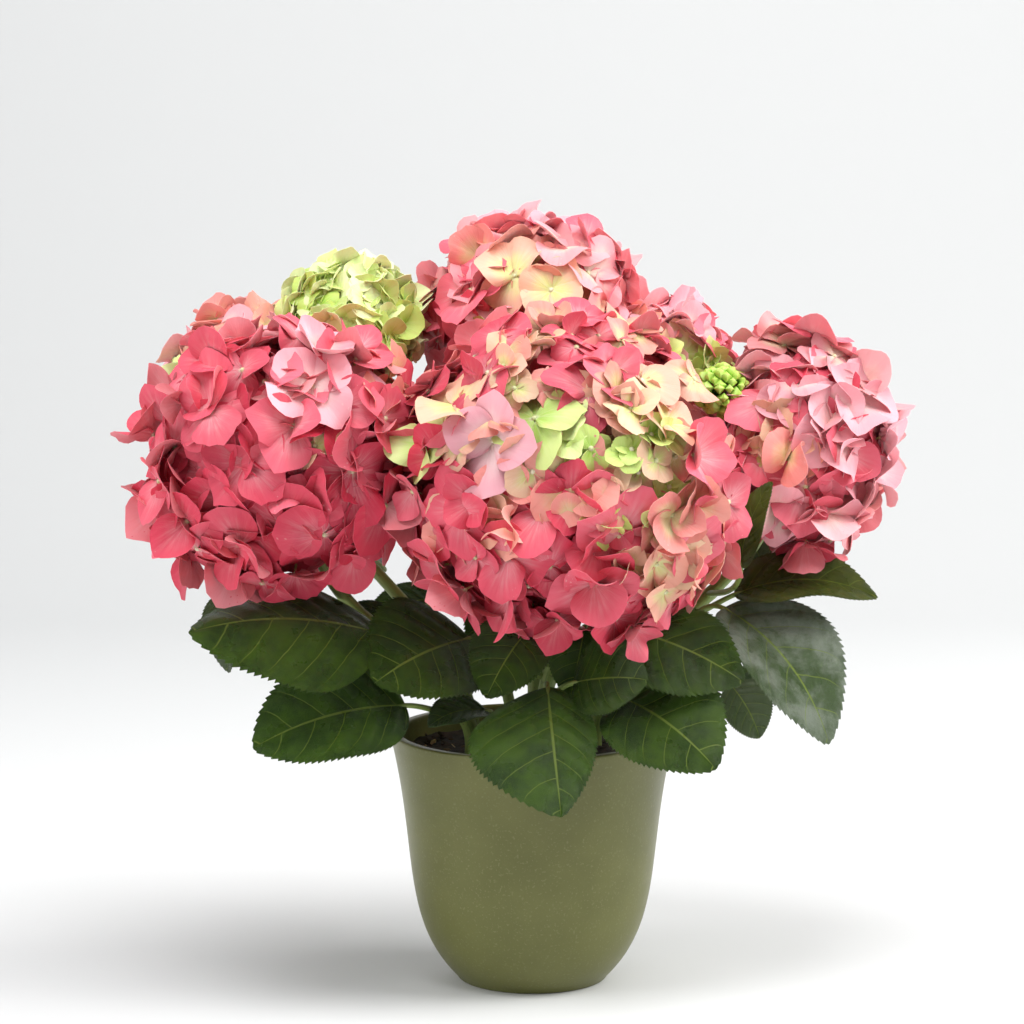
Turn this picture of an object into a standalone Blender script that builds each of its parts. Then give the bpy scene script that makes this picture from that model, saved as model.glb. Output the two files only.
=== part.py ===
"""Potted mophead hydrangea: a tapered pot, its potting soil, eight stems that carry seven flower
heads and a cluster of green buds, and the leaves that grow from the stems on their stalks.

Sizes are in metres and +Z is up. The origin is the centre of the pot's flat underside. The plant
is laid out in rim radii about the centre of the rim's plane, so it keeps its place over the pot.
"""

import math
from dataclasses import dataclass

import bmesh
import bpy
from mathutils import Vector
from mathutils.geometry import interpolate_bezier

GAP = 0.0003  # clearance between two pieces that touch
UP = Vector((0, 0, 1))

# Pot
RIM_RADIUS = 0.0825
POT_HEIGHT = 0.147
FOOT_RADIUS = 0.0425
FOOT_BEVEL = 0.0025
POT_WALL = 0.0035
POT_FLOOR = 0.006
INNER_BEVEL = 0.004
LIP_WIDTH = 0.0055
LIP_HEIGHT = 0.004
LIP_EDGE = 0.0013  # bevel of the lip's edges
BELLY_PULL = (0.94, 0.24)  # first handle of the wall's curve, in rim radii and pot heights
WAIST_PULL = (0.81, 0.52)  # second handle, below the flare of the rim
WALL_STEPS = 9
POT_SEGMENTS = 48

# Potting soil
SOIL_DROP = 0.012  # from the rim down to the soil at the wall
SOIL_CROWN = 0.003  # rise of the soil at the centre
ROOT_DEPTH = 0.025  # how far a stem stands in the soil
COLLAR = 0.003  # how far above the soil's crown a stem stays straight

# Stems
STEM_SIDES = 12
STEM_STEPS = 9
SOCKET_SIDES = 14
STEM_TAPER = 0.8  # radius at the flower over radius at the soil
STEM_RISE = 0.35  # first handle of a stem's curve, as a share of its height

# Flower heads
HEAD_SUBDIVISIONS = 2
SEAT_DEPTH = 0.76  # from a head's centre to its flat underside, in mean radii

# Leaves
BLADE_THICKNESS = 0.0012
STALK_RADIUS = 0.0018
STALK_STEPS = 4
STALK_LEAVE = 0.4  # first handle of a stalk's curve, as a share of its chord
STALK_ARRIVE = 0.35  # second handle, in line with the blade
BLADE_STEPS = 8
BLADE_COLUMNS = 4
LEAF_TIP = 0.0012  # half width of the blunt point
BASE_FULLNESS = 0.55  # below 1 rounds the blade's base
TIP_FULLNESS = 0.80  # near 1 draws the blade out to a point

COLOURS = {
    "pot": ((0.13, 0.14, 0.045), 0.35),
    "soil": ((0.03, 0.02, 0.013), 0.95),
    "stem": ((0.16, 0.25, 0.05), 0.6),
    "leaf": ((0.03, 0.11, 0.02), 0.45),
    "pink": ((0.75, 0.14, 0.20), 0.6),
    "cream": ((0.75, 0.55, 0.38), 0.6),
    "lime": ((0.45, 0.60, 0.16), 0.6),
}


@dataclass
class Flower:
    """A head and its stem: all lengths but the stem's radius are in rim radii."""

    name: str
    head: str
    root: tuple  # where the stem stands in the soil, x and y
    centre: tuple
    radii: tuple
    facing: tuple  # direction in which the stem enters the head
    bend: float  # length of the stem's last, bent stretch
    stem_radius: float
    colour: str
    fullness: float = 2  # above 2 fills the corners of the head's box out


@dataclass
class Leaf:
    """A leaf: base and tip are the ends of the blade's midrib, in rim radii."""

    name: str
    flower: str  # the stem that it grows from
    joint: float  # where on that stem, from 0 at the soil to 1 at the head
    base: tuple
    tip: tuple
    face: tuple  # direction in which the upper side looks
    aspect: float = 0.64  # width over length
    arch: float = 0.14  # rise of the midrib over its chord, as a share of its length
    fold: float = 12  # degrees that each half of the blade rises from the midrib
    lean: float = 0.5  # share of the width on the blade's left, seen from above with its tip ahead


FLOWERS = [
    Flower("left", "flower_head_left", (-0.42, -0.16), (-1.70, -0.42, 1.98), (1.05, 0.82, 0.98),
           (-0.30, -0.15, 0.94), 0.60, 0.0046, "pink", 2.5),
    Flower("front", "flower_head_front", (0.04, -0.36), (0.25, -0.67, 1.87), (1.26, 1.00, 1.20),
           (0.04, -0.35, 0.93), 0.50, 0.0050, "pink", 2.2),
    Flower("right", "flower_head_right", (0.44, 0.02), (1.83, 0.20, 2.00), (0.74, 0.66, 0.92),
           (0.26, -0.30, 0.92), 0.60, 0.0042, "pink"),
    Flower("top", "flower_head_top", (0.02, 0.36), (0.02, 0.85, 2.80), (0.86, 0.80, 0.82),
           (0.02, 0.22, 0.97), 0.60, 0.0044, "pink"),
    Flower("back_left", "flower_head_back_left", (-0.42, 0.26), (-1.98, 0.74, 2.30), (0.70, 0.66, 0.70),
           (-0.40, 0.25, 0.88), 0.50, 0.0040, "cream"),
    Flower("back_right", "flower_head_back_right", (0.32, 0.34), (0.95, 0.72, 2.48), (0.50, 0.50, 0.54),
           (0.20, 0.15, 0.97), 0.50, 0.0036, "cream"),
    Flower("young", "flower_head_young", (-0.14, 0.10), (-1.30, 0.56, 2.82), (0.52, 0.48, 0.48),
           (-0.20, 0.15, 0.95), 0.50, 0.0034, "lime"),
    Flower("bud", "bud_cluster", (0.36, 0.18), (1.32, -0.02, 2.42), (0.20, 0.20, 0.20),
           (0.30, -0.55, 0.75), 0.40, 0.0030, "lime"),
]

LEAVES = [
    Leaf("leaf_upper_left", "left", 0.50, (-1.03, -0.66, 0.80), (-2.35, -0.91, 0.86), (0.05, -0.50, 0.86),
         0.86, 0.10, -18),
    Leaf("leaf_lower_left", "left", 0.20, (-0.88, -0.73, 0.32), (-1.91, -1.03, 0.08), (-0.10, -0.72, 0.69),
         0.84, 0.12),
    Leaf("leaf_far_left", "left", 0.60, (-1.95, 0.10, 1.04), (-2.14, -0.05, 0.42), (-0.80, -0.45, 0.40),
         1.00),
    Leaf("leaf_mid_left", "front", 0.42, (-0.44, -0.46, 0.74), (-1.08, -0.98, 0.52), (-0.15, -0.82, 0.55),
         1.10, 0.12, 6),
    Leaf("leaf_front", "front", 0.20, (0.10, -0.86, 0.47), (0.19, -1.29, -0.34), (-0.02, -0.94, 0.34),
         0.96, 0.20, -8, 0.34),
    Leaf("leaf_front_side", "front", 0.30, (0.28, -0.84, 0.50), (0.78, -1.06, 0.56), (0.05, -0.84, 0.54),
         1.12, 0.12),
    Leaf("leaf_over_soil", "left", 0.13, (-0.32, -0.52, 0.24), (-0.72, -0.74, 0.17), (-0.20, -0.50, 0.84),
         0.75),
    Leaf("leaf_lower_right", "right", 0.18, (0.60, -0.74, 0.38), (1.24, -1.20, -0.03), (0.10, -0.80, 0.60),
         1.00),
    Leaf("leaf_mid_right", "right", 0.30, (0.56, -0.60, 0.84), (1.44, -0.94, 0.52), (0.12, -0.72, 0.68),
         0.80, 0.10, -8),
    Leaf("leaf_right_drooping", "right", 0.44, (1.34, -0.16, 0.90), (2.06, -0.50, 0.00), (0.45, -0.60, 0.66),
         0.80),
    Leaf("leaf_upper_right", "right", 0.50, (1.42, -0.06, 0.98), (2.43, 0.00, 0.95), (0.0, -0.44, 0.90),
         0.62),
    Leaf("leaf_right_folded", "right", 0.58, (1.44, -0.46, 1.24), (1.64, -0.62, 1.86), (-0.55, -0.80, 0.20),
         0.40),
    Leaf("leaf_centre_left", "front", 0.50, (-0.02, -0.62, 0.84), (-0.32, -0.98, 0.42), (-0.10, -0.85, 0.52),
         0.92),
    Leaf("leaf_centre_small", "front", 0.50, (0.36, -0.40, 0.80), (0.26, -0.56, 0.34), (0.05, -0.93, 0.36),
         0.92),
    Leaf("leaf_centre_right", "right", 0.26, (0.48, -0.30, 0.60), (1.05, -0.50, 0.34), (0.10, -0.80, 0.60),
         0.80),
    Leaf("leaf_small_right", "right", 0.30, (1.41, 0.24, 0.28), (1.62, 0.20, -0.10), (0.30, -0.85, 0.40),
         0.95),
    Leaf("leaf_back_right_low", "back_right", 0.22, (1.42, 0.56, 0.24), (2.06, 0.66, -0.02),
         (0.10, -0.30, 0.94), 0.62),
    Leaf("leaf_back_right_high", "back_right", 0.66, (1.86, 0.98, 1.42), (1.58, 0.86, 1.06),
         (-0.10, -0.90, 0.40), 0.90),
    Leaf("leaf_inner_left", "back_left", 0.34, (-0.90, 0.20, 0.74), (-1.50, 0.02, 0.42),
         (-0.20, -0.75, 0.62), 0.80),
    Leaf("leaf_inner_back", "back_left", 0.36, (-0.70, 0.72, 0.82), (-1.22, 0.68, 0.60), (0.05, -0.60, 0.80),
         0.66),
    Leaf("leaf_inner_centre", "top", 0.32, (-0.10, 0.20, 0.98), (-0.36, -0.16, 0.46), (0.00, -0.85, 0.50),
         0.80),
    Leaf("leaf_inner_right", "back_right", 0.34, (0.78, 0.64, 0.84), (1.14, 0.72, 0.40),
         (0.10, -0.85, 0.50), 0.80),
    Leaf("leaf_back_left_low", "back_left", 0.20, (-0.72, 0.66, 0.34), (-1.66, 1.20, 0.10),
         (-0.20, 0.30, 0.93), 0.66),
    Leaf("leaf_back_left_mid", "back_left", 0.56, (-1.10, 0.86, 1.02), (-1.96, 1.34, 0.86),
         (-0.10, 0.35, 0.93), 0.66),
    Leaf("leaf_back_low", "top", 0.16, (-0.06, 0.86, 0.36), (-0.30, 1.80, 0.02), (0.00, 0.45, 0.89),
         0.70),
    Leaf("leaf_back_mid", "top", 0.36, (0.10, 0.92, 1.06), (0.34, 1.88, 0.82), (0.00, 0.40, 0.92),
         0.66),
    Leaf("leaf_back_right_mid", "back_right", 0.44, (0.86, 0.92, 1.06), (1.68, 1.48, 0.90),
         (0.10, 0.35, 0.93), 0.66),
    Leaf("leaf_back_right_lower", "back_right", 0.16, (0.72, 0.84, 0.34), (1.30, 1.52, 0.02),
         (0.15, 0.35, 0.92), 0.70),
    Leaf("leaf_back_high_left", "top", 0.62, (-0.42, 1.04, 1.72), (-1.12, 1.56, 1.50),
         (-0.10, 0.45, 0.89), 0.64),
    Leaf("leaf_back_high_right", "top", 0.66, (0.38, 1.10, 1.70), (0.86, 1.76, 1.46),
         (0.10, 0.45, 0.89), 0.64),
]


def planted(point):
    """A place given in rim radii about the centre of the rim's plane, in metres."""
    return Vector(point) * RIM_RADIUS + UP * POT_HEIGHT


def material(name):
    """A plain material in one of the named colours."""
    found = bpy.data.materials.get(name)
    if found:
        return found
    colour, roughness = COLOURS[name]
    made = bpy.data.materials.new(name)
    made.use_nodes = True
    shader = made.node_tree.nodes["Principled BSDF"]
    shader.inputs["Base Color"].default_value = (*colour, 1)
    shader.inputs["Roughness"].default_value = roughness
    made.diffuse_color = (*colour, 1)
    return made


def add_piece(name, bm, colour, smooth=True):
    """Turn a bmesh into a named object with its material."""
    bmesh.ops.recalc_face_normals(bm, faces=bm.faces)
    mesh = bpy.data.meshes.new(name)
    bm.to_mesh(mesh)
    bm.free()
    if smooth:
        mesh.shade_smooth()
    mesh.materials.append(material(colour))
    piece = bpy.data.objects.new(name, mesh)
    bpy.context.collection.objects.link(piece)
    return piece


def turned(outline, segments):
    """A solid turned about Z from an outline of (radius, height) that starts and ends on the axis."""
    bm = bmesh.new()
    rings = []
    for radius, height in outline:
        if radius == 0:
            rings.append([bm.verts.new((0, 0, height))])
            continue
        angles = [math.tau * i / segments for i in range(segments)]
        rings.append([bm.verts.new((radius * math.cos(a), radius * math.sin(a), height)) for a in angles])
    for low, high in zip(rings, rings[1:]):
        for i in range(segments):
            j = (i + 1) % segments
            corners = [low[i % len(low)], low[j % len(low)], high[j % len(high)], high[i % len(high)]]
            bm.faces.new(list(dict.fromkeys(corners)))
    return bm


def lofted(rings, columns):
    """A closed solid through rings of points: the first half of each ring is its upper side.

    The upper and the lower side are split along the same diagonals, so a thin blade never
    cuts through itself.
    """
    bm = bmesh.new()
    rows = [[bm.verts.new(point) for point in ring] for ring in rings]
    count = 2 * columns
    for low, high in zip(rows, rows[1:]):
        for k in range(count):
            n = (k + 1) % count
            if k < columns:
                bm.faces.new((low[k], low[n], high[n]))
                bm.faces.new((low[k], high[n], high[k]))
            else:
                bm.faces.new((low[k], low[n], high[k]))
                bm.faces.new((low[n], high[n], high[k]))
    bm.faces.new(rows[0])
    bm.faces.new(rows[-1])
    return bm


def soil_height():
    """Height of the soil at the pot's wall."""
    return POT_HEIGHT - SOIL_DROP


def pot_wall():
    """The pot's outer wall from the foot's bevel to the lip, as (radius, height)."""
    start = Vector((FOOT_RADIUS + FOOT_BEVEL, FOOT_BEVEL, 0))
    belly = Vector((BELLY_PULL[0] * RIM_RADIUS, BELLY_PULL[1] * POT_HEIGHT, 0))
    waist = Vector((WAIST_PULL[0] * RIM_RADIUS, WAIST_PULL[1] * POT_HEIGHT, 0))
    end = Vector((RIM_RADIUS, POT_HEIGHT - LIP_HEIGHT, 0))
    return [(p.x, p.y) for p in interpolate_bezier(start, belly, waist, end, WALL_STEPS)]


def wall_radius(height):
    """The outer wall's radius at a height."""
    for (low_radius, low), (high_radius, high) in zip(pot_wall(), pot_wall()[1:]):
        if low <= height <= high:
            return low_radius + (high_radius - low_radius) * (height - low) / (high - low)
    return RIM_RADIUS


def inner_heights():
    """Heights at which the pot's inner wall, and the soil against it, have a corner."""
    low = POT_FLOOR + INNER_BEVEL
    high = soil_height()
    between = [height for _, height in pot_wall() if low + POT_WALL < height < high - POT_WALL]
    return [low, *between, high]


def make_pot():
    """The hollow pot with a lip round its rim that is wider than its wall."""
    lip_inner = RIM_RADIUS - LIP_WIDTH
    under_lip = POT_HEIGHT - LIP_HEIGHT - (LIP_WIDTH - POT_WALL)
    inside = [(wall_radius(height) - POT_WALL, height) for height in [*inner_heights(), under_lip]]
    outline = [(0, 0), (FOOT_RADIUS, 0), *pot_wall()]
    outline += [(RIM_RADIUS, POT_HEIGHT - LIP_EDGE), (RIM_RADIUS - LIP_EDGE, POT_HEIGHT)]
    outline += [(lip_inner + LIP_EDGE, POT_HEIGHT), (lip_inner, POT_HEIGHT - LIP_EDGE)]
    outline += [(lip_inner, POT_HEIGHT - LIP_HEIGHT), *reversed(inside)]
    outline += [(inside[0][0] - INNER_BEVEL, POT_FLOOR), (0, POT_FLOOR)]
    add_piece("pot", turned(outline, POT_SEGMENTS), "pot")


def make_soil():
    """The soil fills the pot, with a socket for each stem."""
    top = soil_height()
    side = [(wall_radius(height) - POT_WALL - GAP, height) for height in inner_heights()]
    outline = [(0, POT_FLOOR + GAP), (side[0][0] - INNER_BEVEL, POT_FLOOR + GAP)]
    outline += [*side, (0, top + SOIL_CROWN)]
    soil = add_piece("potting_soil", turned(outline, POT_SEGMENTS), "soil", smooth=False)

    sockets = bmesh.new()
    for flower in FLOWERS:
        radius = (flower.stem_radius + GAP) / math.cos(math.pi / SOCKET_SIDES)
        depth = GAP + ROOT_DEPTH + SOIL_CROWN + COLLAR
        x, y = (c * RIM_RADIUS for c in flower.root)
        made = bmesh.ops.create_cone(sockets, cap_ends=True, segments=SOCKET_SIDES,
                                     radius1=radius, radius2=radius, depth=depth)
        middle = Vector((x, y, top - ROOT_DEPTH - GAP + depth / 2))
        bmesh.ops.translate(sockets, vec=middle, verts=made["verts"])
    cutter = add_piece("stem_sockets", sockets, "soil")
    cutter.hide_render = True
    cutter.display_type = "WIRE"
    cut = soil.modifiers.new("stem sockets", "BOOLEAN")
    cut.operation = "DIFFERENCE"
    cut.solver = "EXACT"
    cut.object = cutter


def seat_of(flower):
    """The middle of a head's flat underside."""
    mean = sum(flower.radii) / 3
    return planted(flower.centre) - Vector(flower.facing).normalized() * SEAT_DEPTH * mean * RIM_RADIUS


def stem_path(flower):
    """Points up a stem: straight out of the soil, then one curve to the seat of its head."""
    x, y = (c * RIM_RADIUS for c in flower.root)
    foot = Vector((x, y, soil_height() - ROOT_DEPTH))
    collar = Vector((x, y, soil_height() + SOIL_CROWN + COLLAR))
    facing = Vector(flower.facing).normalized()
    end = seat_of(flower) - facing * GAP
    bend = end - facing * flower.bend * RIM_RADIUS
    rise = collar + UP * (end.z - collar.z) * STEM_RISE
    return [foot] + interpolate_bezier(collar, rise, bend, end, STEM_STEPS)


def frame_along(path, index, side_hint):
    """Two unit vectors square to a path at one of its points."""
    after = path[min(index + 1, len(path) - 1)]
    before = path[max(index - 1, 0)]
    along = (after - before).normalized()
    side = (side_hint - along * side_hint.dot(along)).normalized()
    return side, along.cross(side)


def stem_radius_at(flower, share):
    """A stem's radius at a share of the way from the soil to its head."""
    return flower.stem_radius * (1 + (STEM_TAPER - 1) * share)


def make_stem(flower):
    """A round stem that tapers towards its head and ends square to it."""
    path = stem_path(flower)
    bm = bmesh.new()
    rings = []
    for index, centre in enumerate(path):
        side, other = frame_along(path, index, Vector((1, 0, 0)))
        if index == len(path) - 1:
            facing = Vector(flower.facing).normalized()
            side = (side - facing * side.dot(facing)).normalized()
            other = facing.cross(side)
        radius = stem_radius_at(flower, max(index - 1, 0) / STEM_STEPS)
        angles = [math.tau * i / STEM_SIDES for i in range(STEM_SIDES)]
        rings.append([
            bm.verts.new(centre + (side * math.cos(a) + other * math.sin(a)) * radius) for a in angles
        ])
    for low, high in zip(rings, rings[1:]):
        for i in range(STEM_SIDES):
            j = (i + 1) % STEM_SIDES
            bm.faces.new((low[i], low[j], high[j], high[i]))
    bm.faces.new(rings[0])
    bm.faces.new(rings[-1])
    bmesh.ops.triangulate(bm, faces=bm.faces)
    add_piece(f"stem_{flower.name}", bm, "stem")


def reach(flower, direction):
    """A head's radius in a direction, before its neighbours press on it."""
    parts = [abs(d / r) ** flower.fullness for d, r in zip(direction, flower.radii)]
    return RIM_RADIUS / sum(parts) ** (1 / flower.fullness)


def head_limits(flower):
    """Planes that bound a head, as (normal, distance): its underside, and where neighbours touch it."""
    facing = Vector(flower.facing).normalized()
    centre = planted(flower.centre)
    limits = [(-facing, (seat_of(flower) - centre).length)]
    for other in FLOWERS:
        if other is flower:
            continue
        apart = planted(other.centre) - centre
        towards = apart.normalized()
        own = reach(flower, towards)
        share = own / (own + reach(other, -towards))
        limits.append((towards, apart.length * share - GAP / 2))
    return limits


def make_head(flower):
    """A flower head as one rounded dome, flat underneath and where it meets its neighbours."""
    limits = head_limits(flower)
    centre = planted(flower.centre)
    bm = bmesh.new()
    bmesh.ops.create_icosphere(bm, subdivisions=HEAD_SUBDIVISIONS, radius=1)
    for vert in bm.verts:
        direction = vert.co.normalized()
        radius = reach(flower, direction)
        for normal, distance in limits:
            facing = direction.dot(normal)
            if facing * radius > distance:
                radius = distance / facing
        vert.co = centre + direction * radius
    add_piece(flower.head, bm, flower.colour)


def blade_width(share):
    """A blade's half width as a share of its largest, from its base at 0 to its tip at 1."""
    widest = BASE_FULLNESS / (BASE_FULLNESS + TIP_FULLNESS)
    peak = widest ** BASE_FULLNESS * (1 - widest) ** TIP_FULLNESS
    return share ** BASE_FULLNESS * (1 - share) ** TIP_FULLNESS / peak


def leaf_ring(centre, side, normal, half_widths, half_thickness, fold):
    """A ring of points across a leaf: over its upper side, then back under it."""
    rise = math.radians(fold)
    top, under = [], []
    for column in range(BLADE_COLUMNS + 1):
        across = 2 * column / BLADE_COLUMNS - 1
        out = across * half_widths[across > 0]
        skin = centre + side * out * math.cos(rise) + normal * abs(out) * math.sin(rise)
        depth = normal * half_thickness * (1 - across ** 2)
        top.append(skin + depth)
        under.append(skin - depth)
    return top + under[-2:0:-1]


def stalk_start(leaf, flower):
    """Where a leaf's stalk leaves its stem, just clear of the stem's skin, and in which direction."""
    path = stem_path(flower)[1:]
    place = leaf.joint * STEM_STEPS
    index = min(int(place), len(path) - 2)
    on_axis = path[index].lerp(path[index + 1], place - index)
    along = (path[index + 1] - path[index]).normalized()
    outward = planted(leaf.base) - on_axis
    outward = (outward - along * outward.dot(along)).normalized()
    return on_axis + outward * (stem_radius_at(flower, leaf.joint) + GAP), outward


def make_leaf(leaf):
    """A leaf in one piece: a round stalk that flattens into a folded, arching blade."""
    flower = [f for f in FLOWERS if f.name == leaf.flower][0]
    start, outward = stalk_start(leaf, flower)
    base, tip = planted(leaf.base), planted(leaf.tip)
    face = Vector(leaf.face).normalized()
    chord = tip - base
    length = chord.length
    peak = base + chord * 0.5 + face * 2 * leaf.arch * length
    span = (base - start).length
    leave = start + outward * span * STALK_LEAVE
    arrive = base - (peak - base).normalized() * span * STALK_ARRIVE
    stalk = interpolate_bezier(start, leave, arrive, base, STALK_STEPS + 1)[:-1]
    blade = interpolate_bezier(base, base.lerp(peak, 2 / 3), tip.lerp(peak, 2 / 3), tip, BLADE_STEPS + 1)
    path = stalk + blade
    rings = []
    for index, centre in enumerate(path):
        along = (path[min(index + 1, len(path) - 1)] - path[max(index - 1, 0)]).normalized()
        if index == 0:
            along = outward
        normal = (face - along * face.dot(along)).normalized()
        side = along.cross(normal)
        share = (index - len(stalk)) / BLADE_STEPS
        if share > 0:
            width = blade_width(share) * leaf.aspect * length
            halves = [max(width * part, LEAF_TIP) for part in (leaf.lean, 1 - leaf.lean)]
            rings.append(leaf_ring(centre, side, normal, halves, BLADE_THICKNESS / 2, leaf.fold))
        else:
            rings.append(leaf_ring(centre, side, normal, [STALK_RADIUS] * 2, STALK_RADIUS, 0))
    add_piece(leaf.name, lofted(rings, BLADE_COLUMNS), "leaf")


def main():
    for old in list(bpy.data.objects):
        bpy.data.objects.remove(old, do_unlink=True)
    make_pot()
    make_soil()
    for flower in FLOWERS:
        make_stem(flower)
        make_head(flower)
    for leaf in LEAVES:
        make_leaf(leaf)


main()
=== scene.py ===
"""Looks of the potted hydrangea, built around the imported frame.

The plant is laid out as in the frame: in rim radii about the centre of the pot's rim. Every flower
head is grown here floret by floret on its CAD dome, every leaf is a toothed and veined blade over its
CAD leaf, and the pot, the soil and the stems are finished surfaces over theirs. Sizes are in metres.
"""

import math
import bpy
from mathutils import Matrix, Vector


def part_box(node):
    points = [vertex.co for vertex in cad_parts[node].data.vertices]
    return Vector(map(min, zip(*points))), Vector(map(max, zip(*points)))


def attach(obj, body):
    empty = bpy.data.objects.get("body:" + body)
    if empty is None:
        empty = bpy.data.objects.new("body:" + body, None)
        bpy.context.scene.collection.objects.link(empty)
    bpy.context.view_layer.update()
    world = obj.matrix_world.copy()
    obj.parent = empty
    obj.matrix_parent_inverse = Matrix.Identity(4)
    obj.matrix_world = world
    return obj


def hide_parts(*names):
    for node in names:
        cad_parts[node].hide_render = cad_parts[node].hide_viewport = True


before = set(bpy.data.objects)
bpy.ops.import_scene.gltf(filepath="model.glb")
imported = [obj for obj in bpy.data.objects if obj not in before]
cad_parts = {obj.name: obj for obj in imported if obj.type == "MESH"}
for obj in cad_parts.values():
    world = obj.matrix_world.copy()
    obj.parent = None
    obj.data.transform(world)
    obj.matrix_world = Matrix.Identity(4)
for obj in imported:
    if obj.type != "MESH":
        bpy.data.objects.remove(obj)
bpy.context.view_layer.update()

import zlib
from dataclasses import dataclass

import bpy
import numpy as np
from mathutils import Matrix, Vector, noise
from mathutils.bvhtree import BVHTree
from mathutils.geometry import interpolate_bezier

BODY = "root"
GAP = 0.0003
UP = Vector((0, 0, 1))
GOLDEN_ANGLE = math.pi * (3 - math.sqrt(5))
SHARP = math.radians(45)  # edges bent more than this aren't shaded smooth
MAP_MARGIN = 0.03  # of a part's cell of the bake map

# Camera, lights and floor
CAMERA_PLACE = (-0.0119, -2.3, 0.6138)
CAMERA_DIP = 0.1460  # radians below level
SENSOR_WIDTH = 36
LENS = 141.1
WORLD_LIGHT = 0.36
LIT_POINT = (0, 0, 0.25)
LIGHTS = (  # name, place, size, power, colour
    ("window", (1.5, -0.1, 1.35), (1.3, 1.3), 44, (1, 0.99, 0.97)),
    ("top", (-0.2, -0.5, 1.8), (1.2, 0.9), 24, (1, 1, 1)),
    ("fill", (-1.6, -0.7, 0.7), (0.8, 1.4), 13, (1, 1, 1)),
)
FLOOR_COLOUR = (0.76, 0.77, 0.775, 1)
FLOOR_HALF_WIDTH = 6.0
FLOOR_FRONT = -4.0
FLOOR_BACK = 1.2
BACKDROP_BEND = 0.8  # radius of the curve between the floor and the backdrop
BACKDROP_HEIGHT = 5.0

# Pot and soil, with the sizes of the frame
POT_LOW, POT_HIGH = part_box("pot")
RIM_RADIUS = (POT_HIGH.x - POT_LOW.x) / 2
POT_HEIGHT = POT_HIGH.z
FOOT_RADIUS = 0.0425
FOOT_BEVEL = 0.0025
POT_WALL = 0.0035
LIP_WIDTH = 0.0055
LIP_HEIGHT = 0.004
LIP_EDGE = 0.0013
FOOT_EDGE = 0.0012
FOOT_RECESS = 0.0012  # height of the shallow hollow under the pot
FOOT_RING = 0.004  # width of the ring that the pot stands on
POT_FLOOR = 0.006
MIDDLE = 0.001  # radius of the innermost ring under and in the pot
BELLY_PULL = (0.94, 0.24)
WAIST_PULL = (0.81, 0.52)
WALL_STEPS = 48
POT_SEGMENTS = 160
SOIL_CROWN = 0.003
SOIL_LOW, SOIL_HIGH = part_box("potting_soil")
SOIL_EDGE = SOIL_HIGH.z - SOIL_CROWN  # height of the soil at the wall
SOIL_RADIUS = (SOIL_HIGH.x - SOIL_LOW.x) / 2
SOIL_RINGS = 40
SOIL_SEGMENTS = 120
LUMP_SCALE = 90
LUMP_HEIGHT = 0.0016
COLLAR = 0.003
LITTER_COUNT = 260
LITTER_LENGTHS = (0.0015, 0.006)
LITTER_WIDTHS = (0.15, 0.5)  # of its length
LITTER_TAPER = (0.35, 0.55, 0.6, 0.5, 0.3)
LITTER_SIDES = 6
LITTER_COLOURS = ((0.035, 0.02, 0.01), (0.16, 0.09, 0.04), (0.42, 0.33, 0.18))
LITTER_SHARES = (0.6, 0.28, 0.12)

# Stems
STEM_TAPER = 0.8
STEM_RISE = 0.35
SEAT_DEPTH = 0.76
STEM_STEPS = 9  # the frame's own steps, which place the leaves' joints
STEM_FINE = 4  # finer steps in each of those
STEM_SIDES = 18
STEM_SINK = 0.004  # how far a stem goes down into the soil
NODE_SWELL = 0.16  # how much thicker a stem is where a leaf grows from it
NODE_LENGTH = 0.02  # of the stem's length

# Leaves
STALK_RADIUS = 0.0018
STALK_LEAVE = 0.4
STALK_ARRIVE = 0.35
STALK_ROOT = 0.6  # how far out in its stem a stalk starts, as a share of the stem's radius
STALK_STEPS = 14
STALK_SIDES = 10
BLADE_THICKNESS = 0.0005
BLADE_COLUMNS = 22
TEETH = 27  # on each side of a blade
TOOTH_STEPS = (0.0, 0.35, 0.68, 0.92)  # rows in one tooth, as shares of its length
TOOTH_DEPTH = 0.055  # of the blade's half width
TOOTH_HOOK = 0.011  # how far a tooth leans towards the tip, as a share of the blade's length
SWEEP = 0.6  # how far a blade's side veins sweep towards its tip
SIDE_VEINS = 6
VEIN_OFFSET = 0.16  # how far a vein leaves the midrib before its partner, in gaps between veins
QUILTING = 0.011  # rise of the blade between its side veins, as a share of its length
VEIN_CROWDING = 1.5  # above 1 crowds the side veins towards the base
CREASE = 0.03  # width of the bend at the midrib, as a share of the blade's length
WAVES = 0.022  # height of the waves in a blade's margin, as a share of its length
BASE_FULLNESS = 0.55  # below 1 rounds the blade's base
TIP_FULLNESS = 0.80  # near 1 draws the blade out to a point

# Sepals
SEPAL_ROWS = (0.06, 0.28, 0.50, 0.70, 0.87, 1.0)  # rings round a sepal's base, as shares of its outline
SEPAL_COLUMNS = 21
SEPAL_SPREAD = 2.75  # radians of its outline to each side of its tip
SEPAL_THICKNESS = 0.00022
# Ranges that a sepal's shape is drawn from, as shares of its length where they are lengths
OUTLINES = (0.92, 1.22)  # 1 for an oval outline, more for a rhombic one
HALF_WIDTHS = (0.50, 0.62)
RAGGED = (0.006, 0.032)  # unevenness of its edge
TIPS = (0, 0.13)  # length of its point
PLEATS = (0.014, 0.045)
RUFFLES = (0.03, 0.16)
CREASES = (0.01, 0.05)
LEAST_CURL = 0.05

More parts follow.
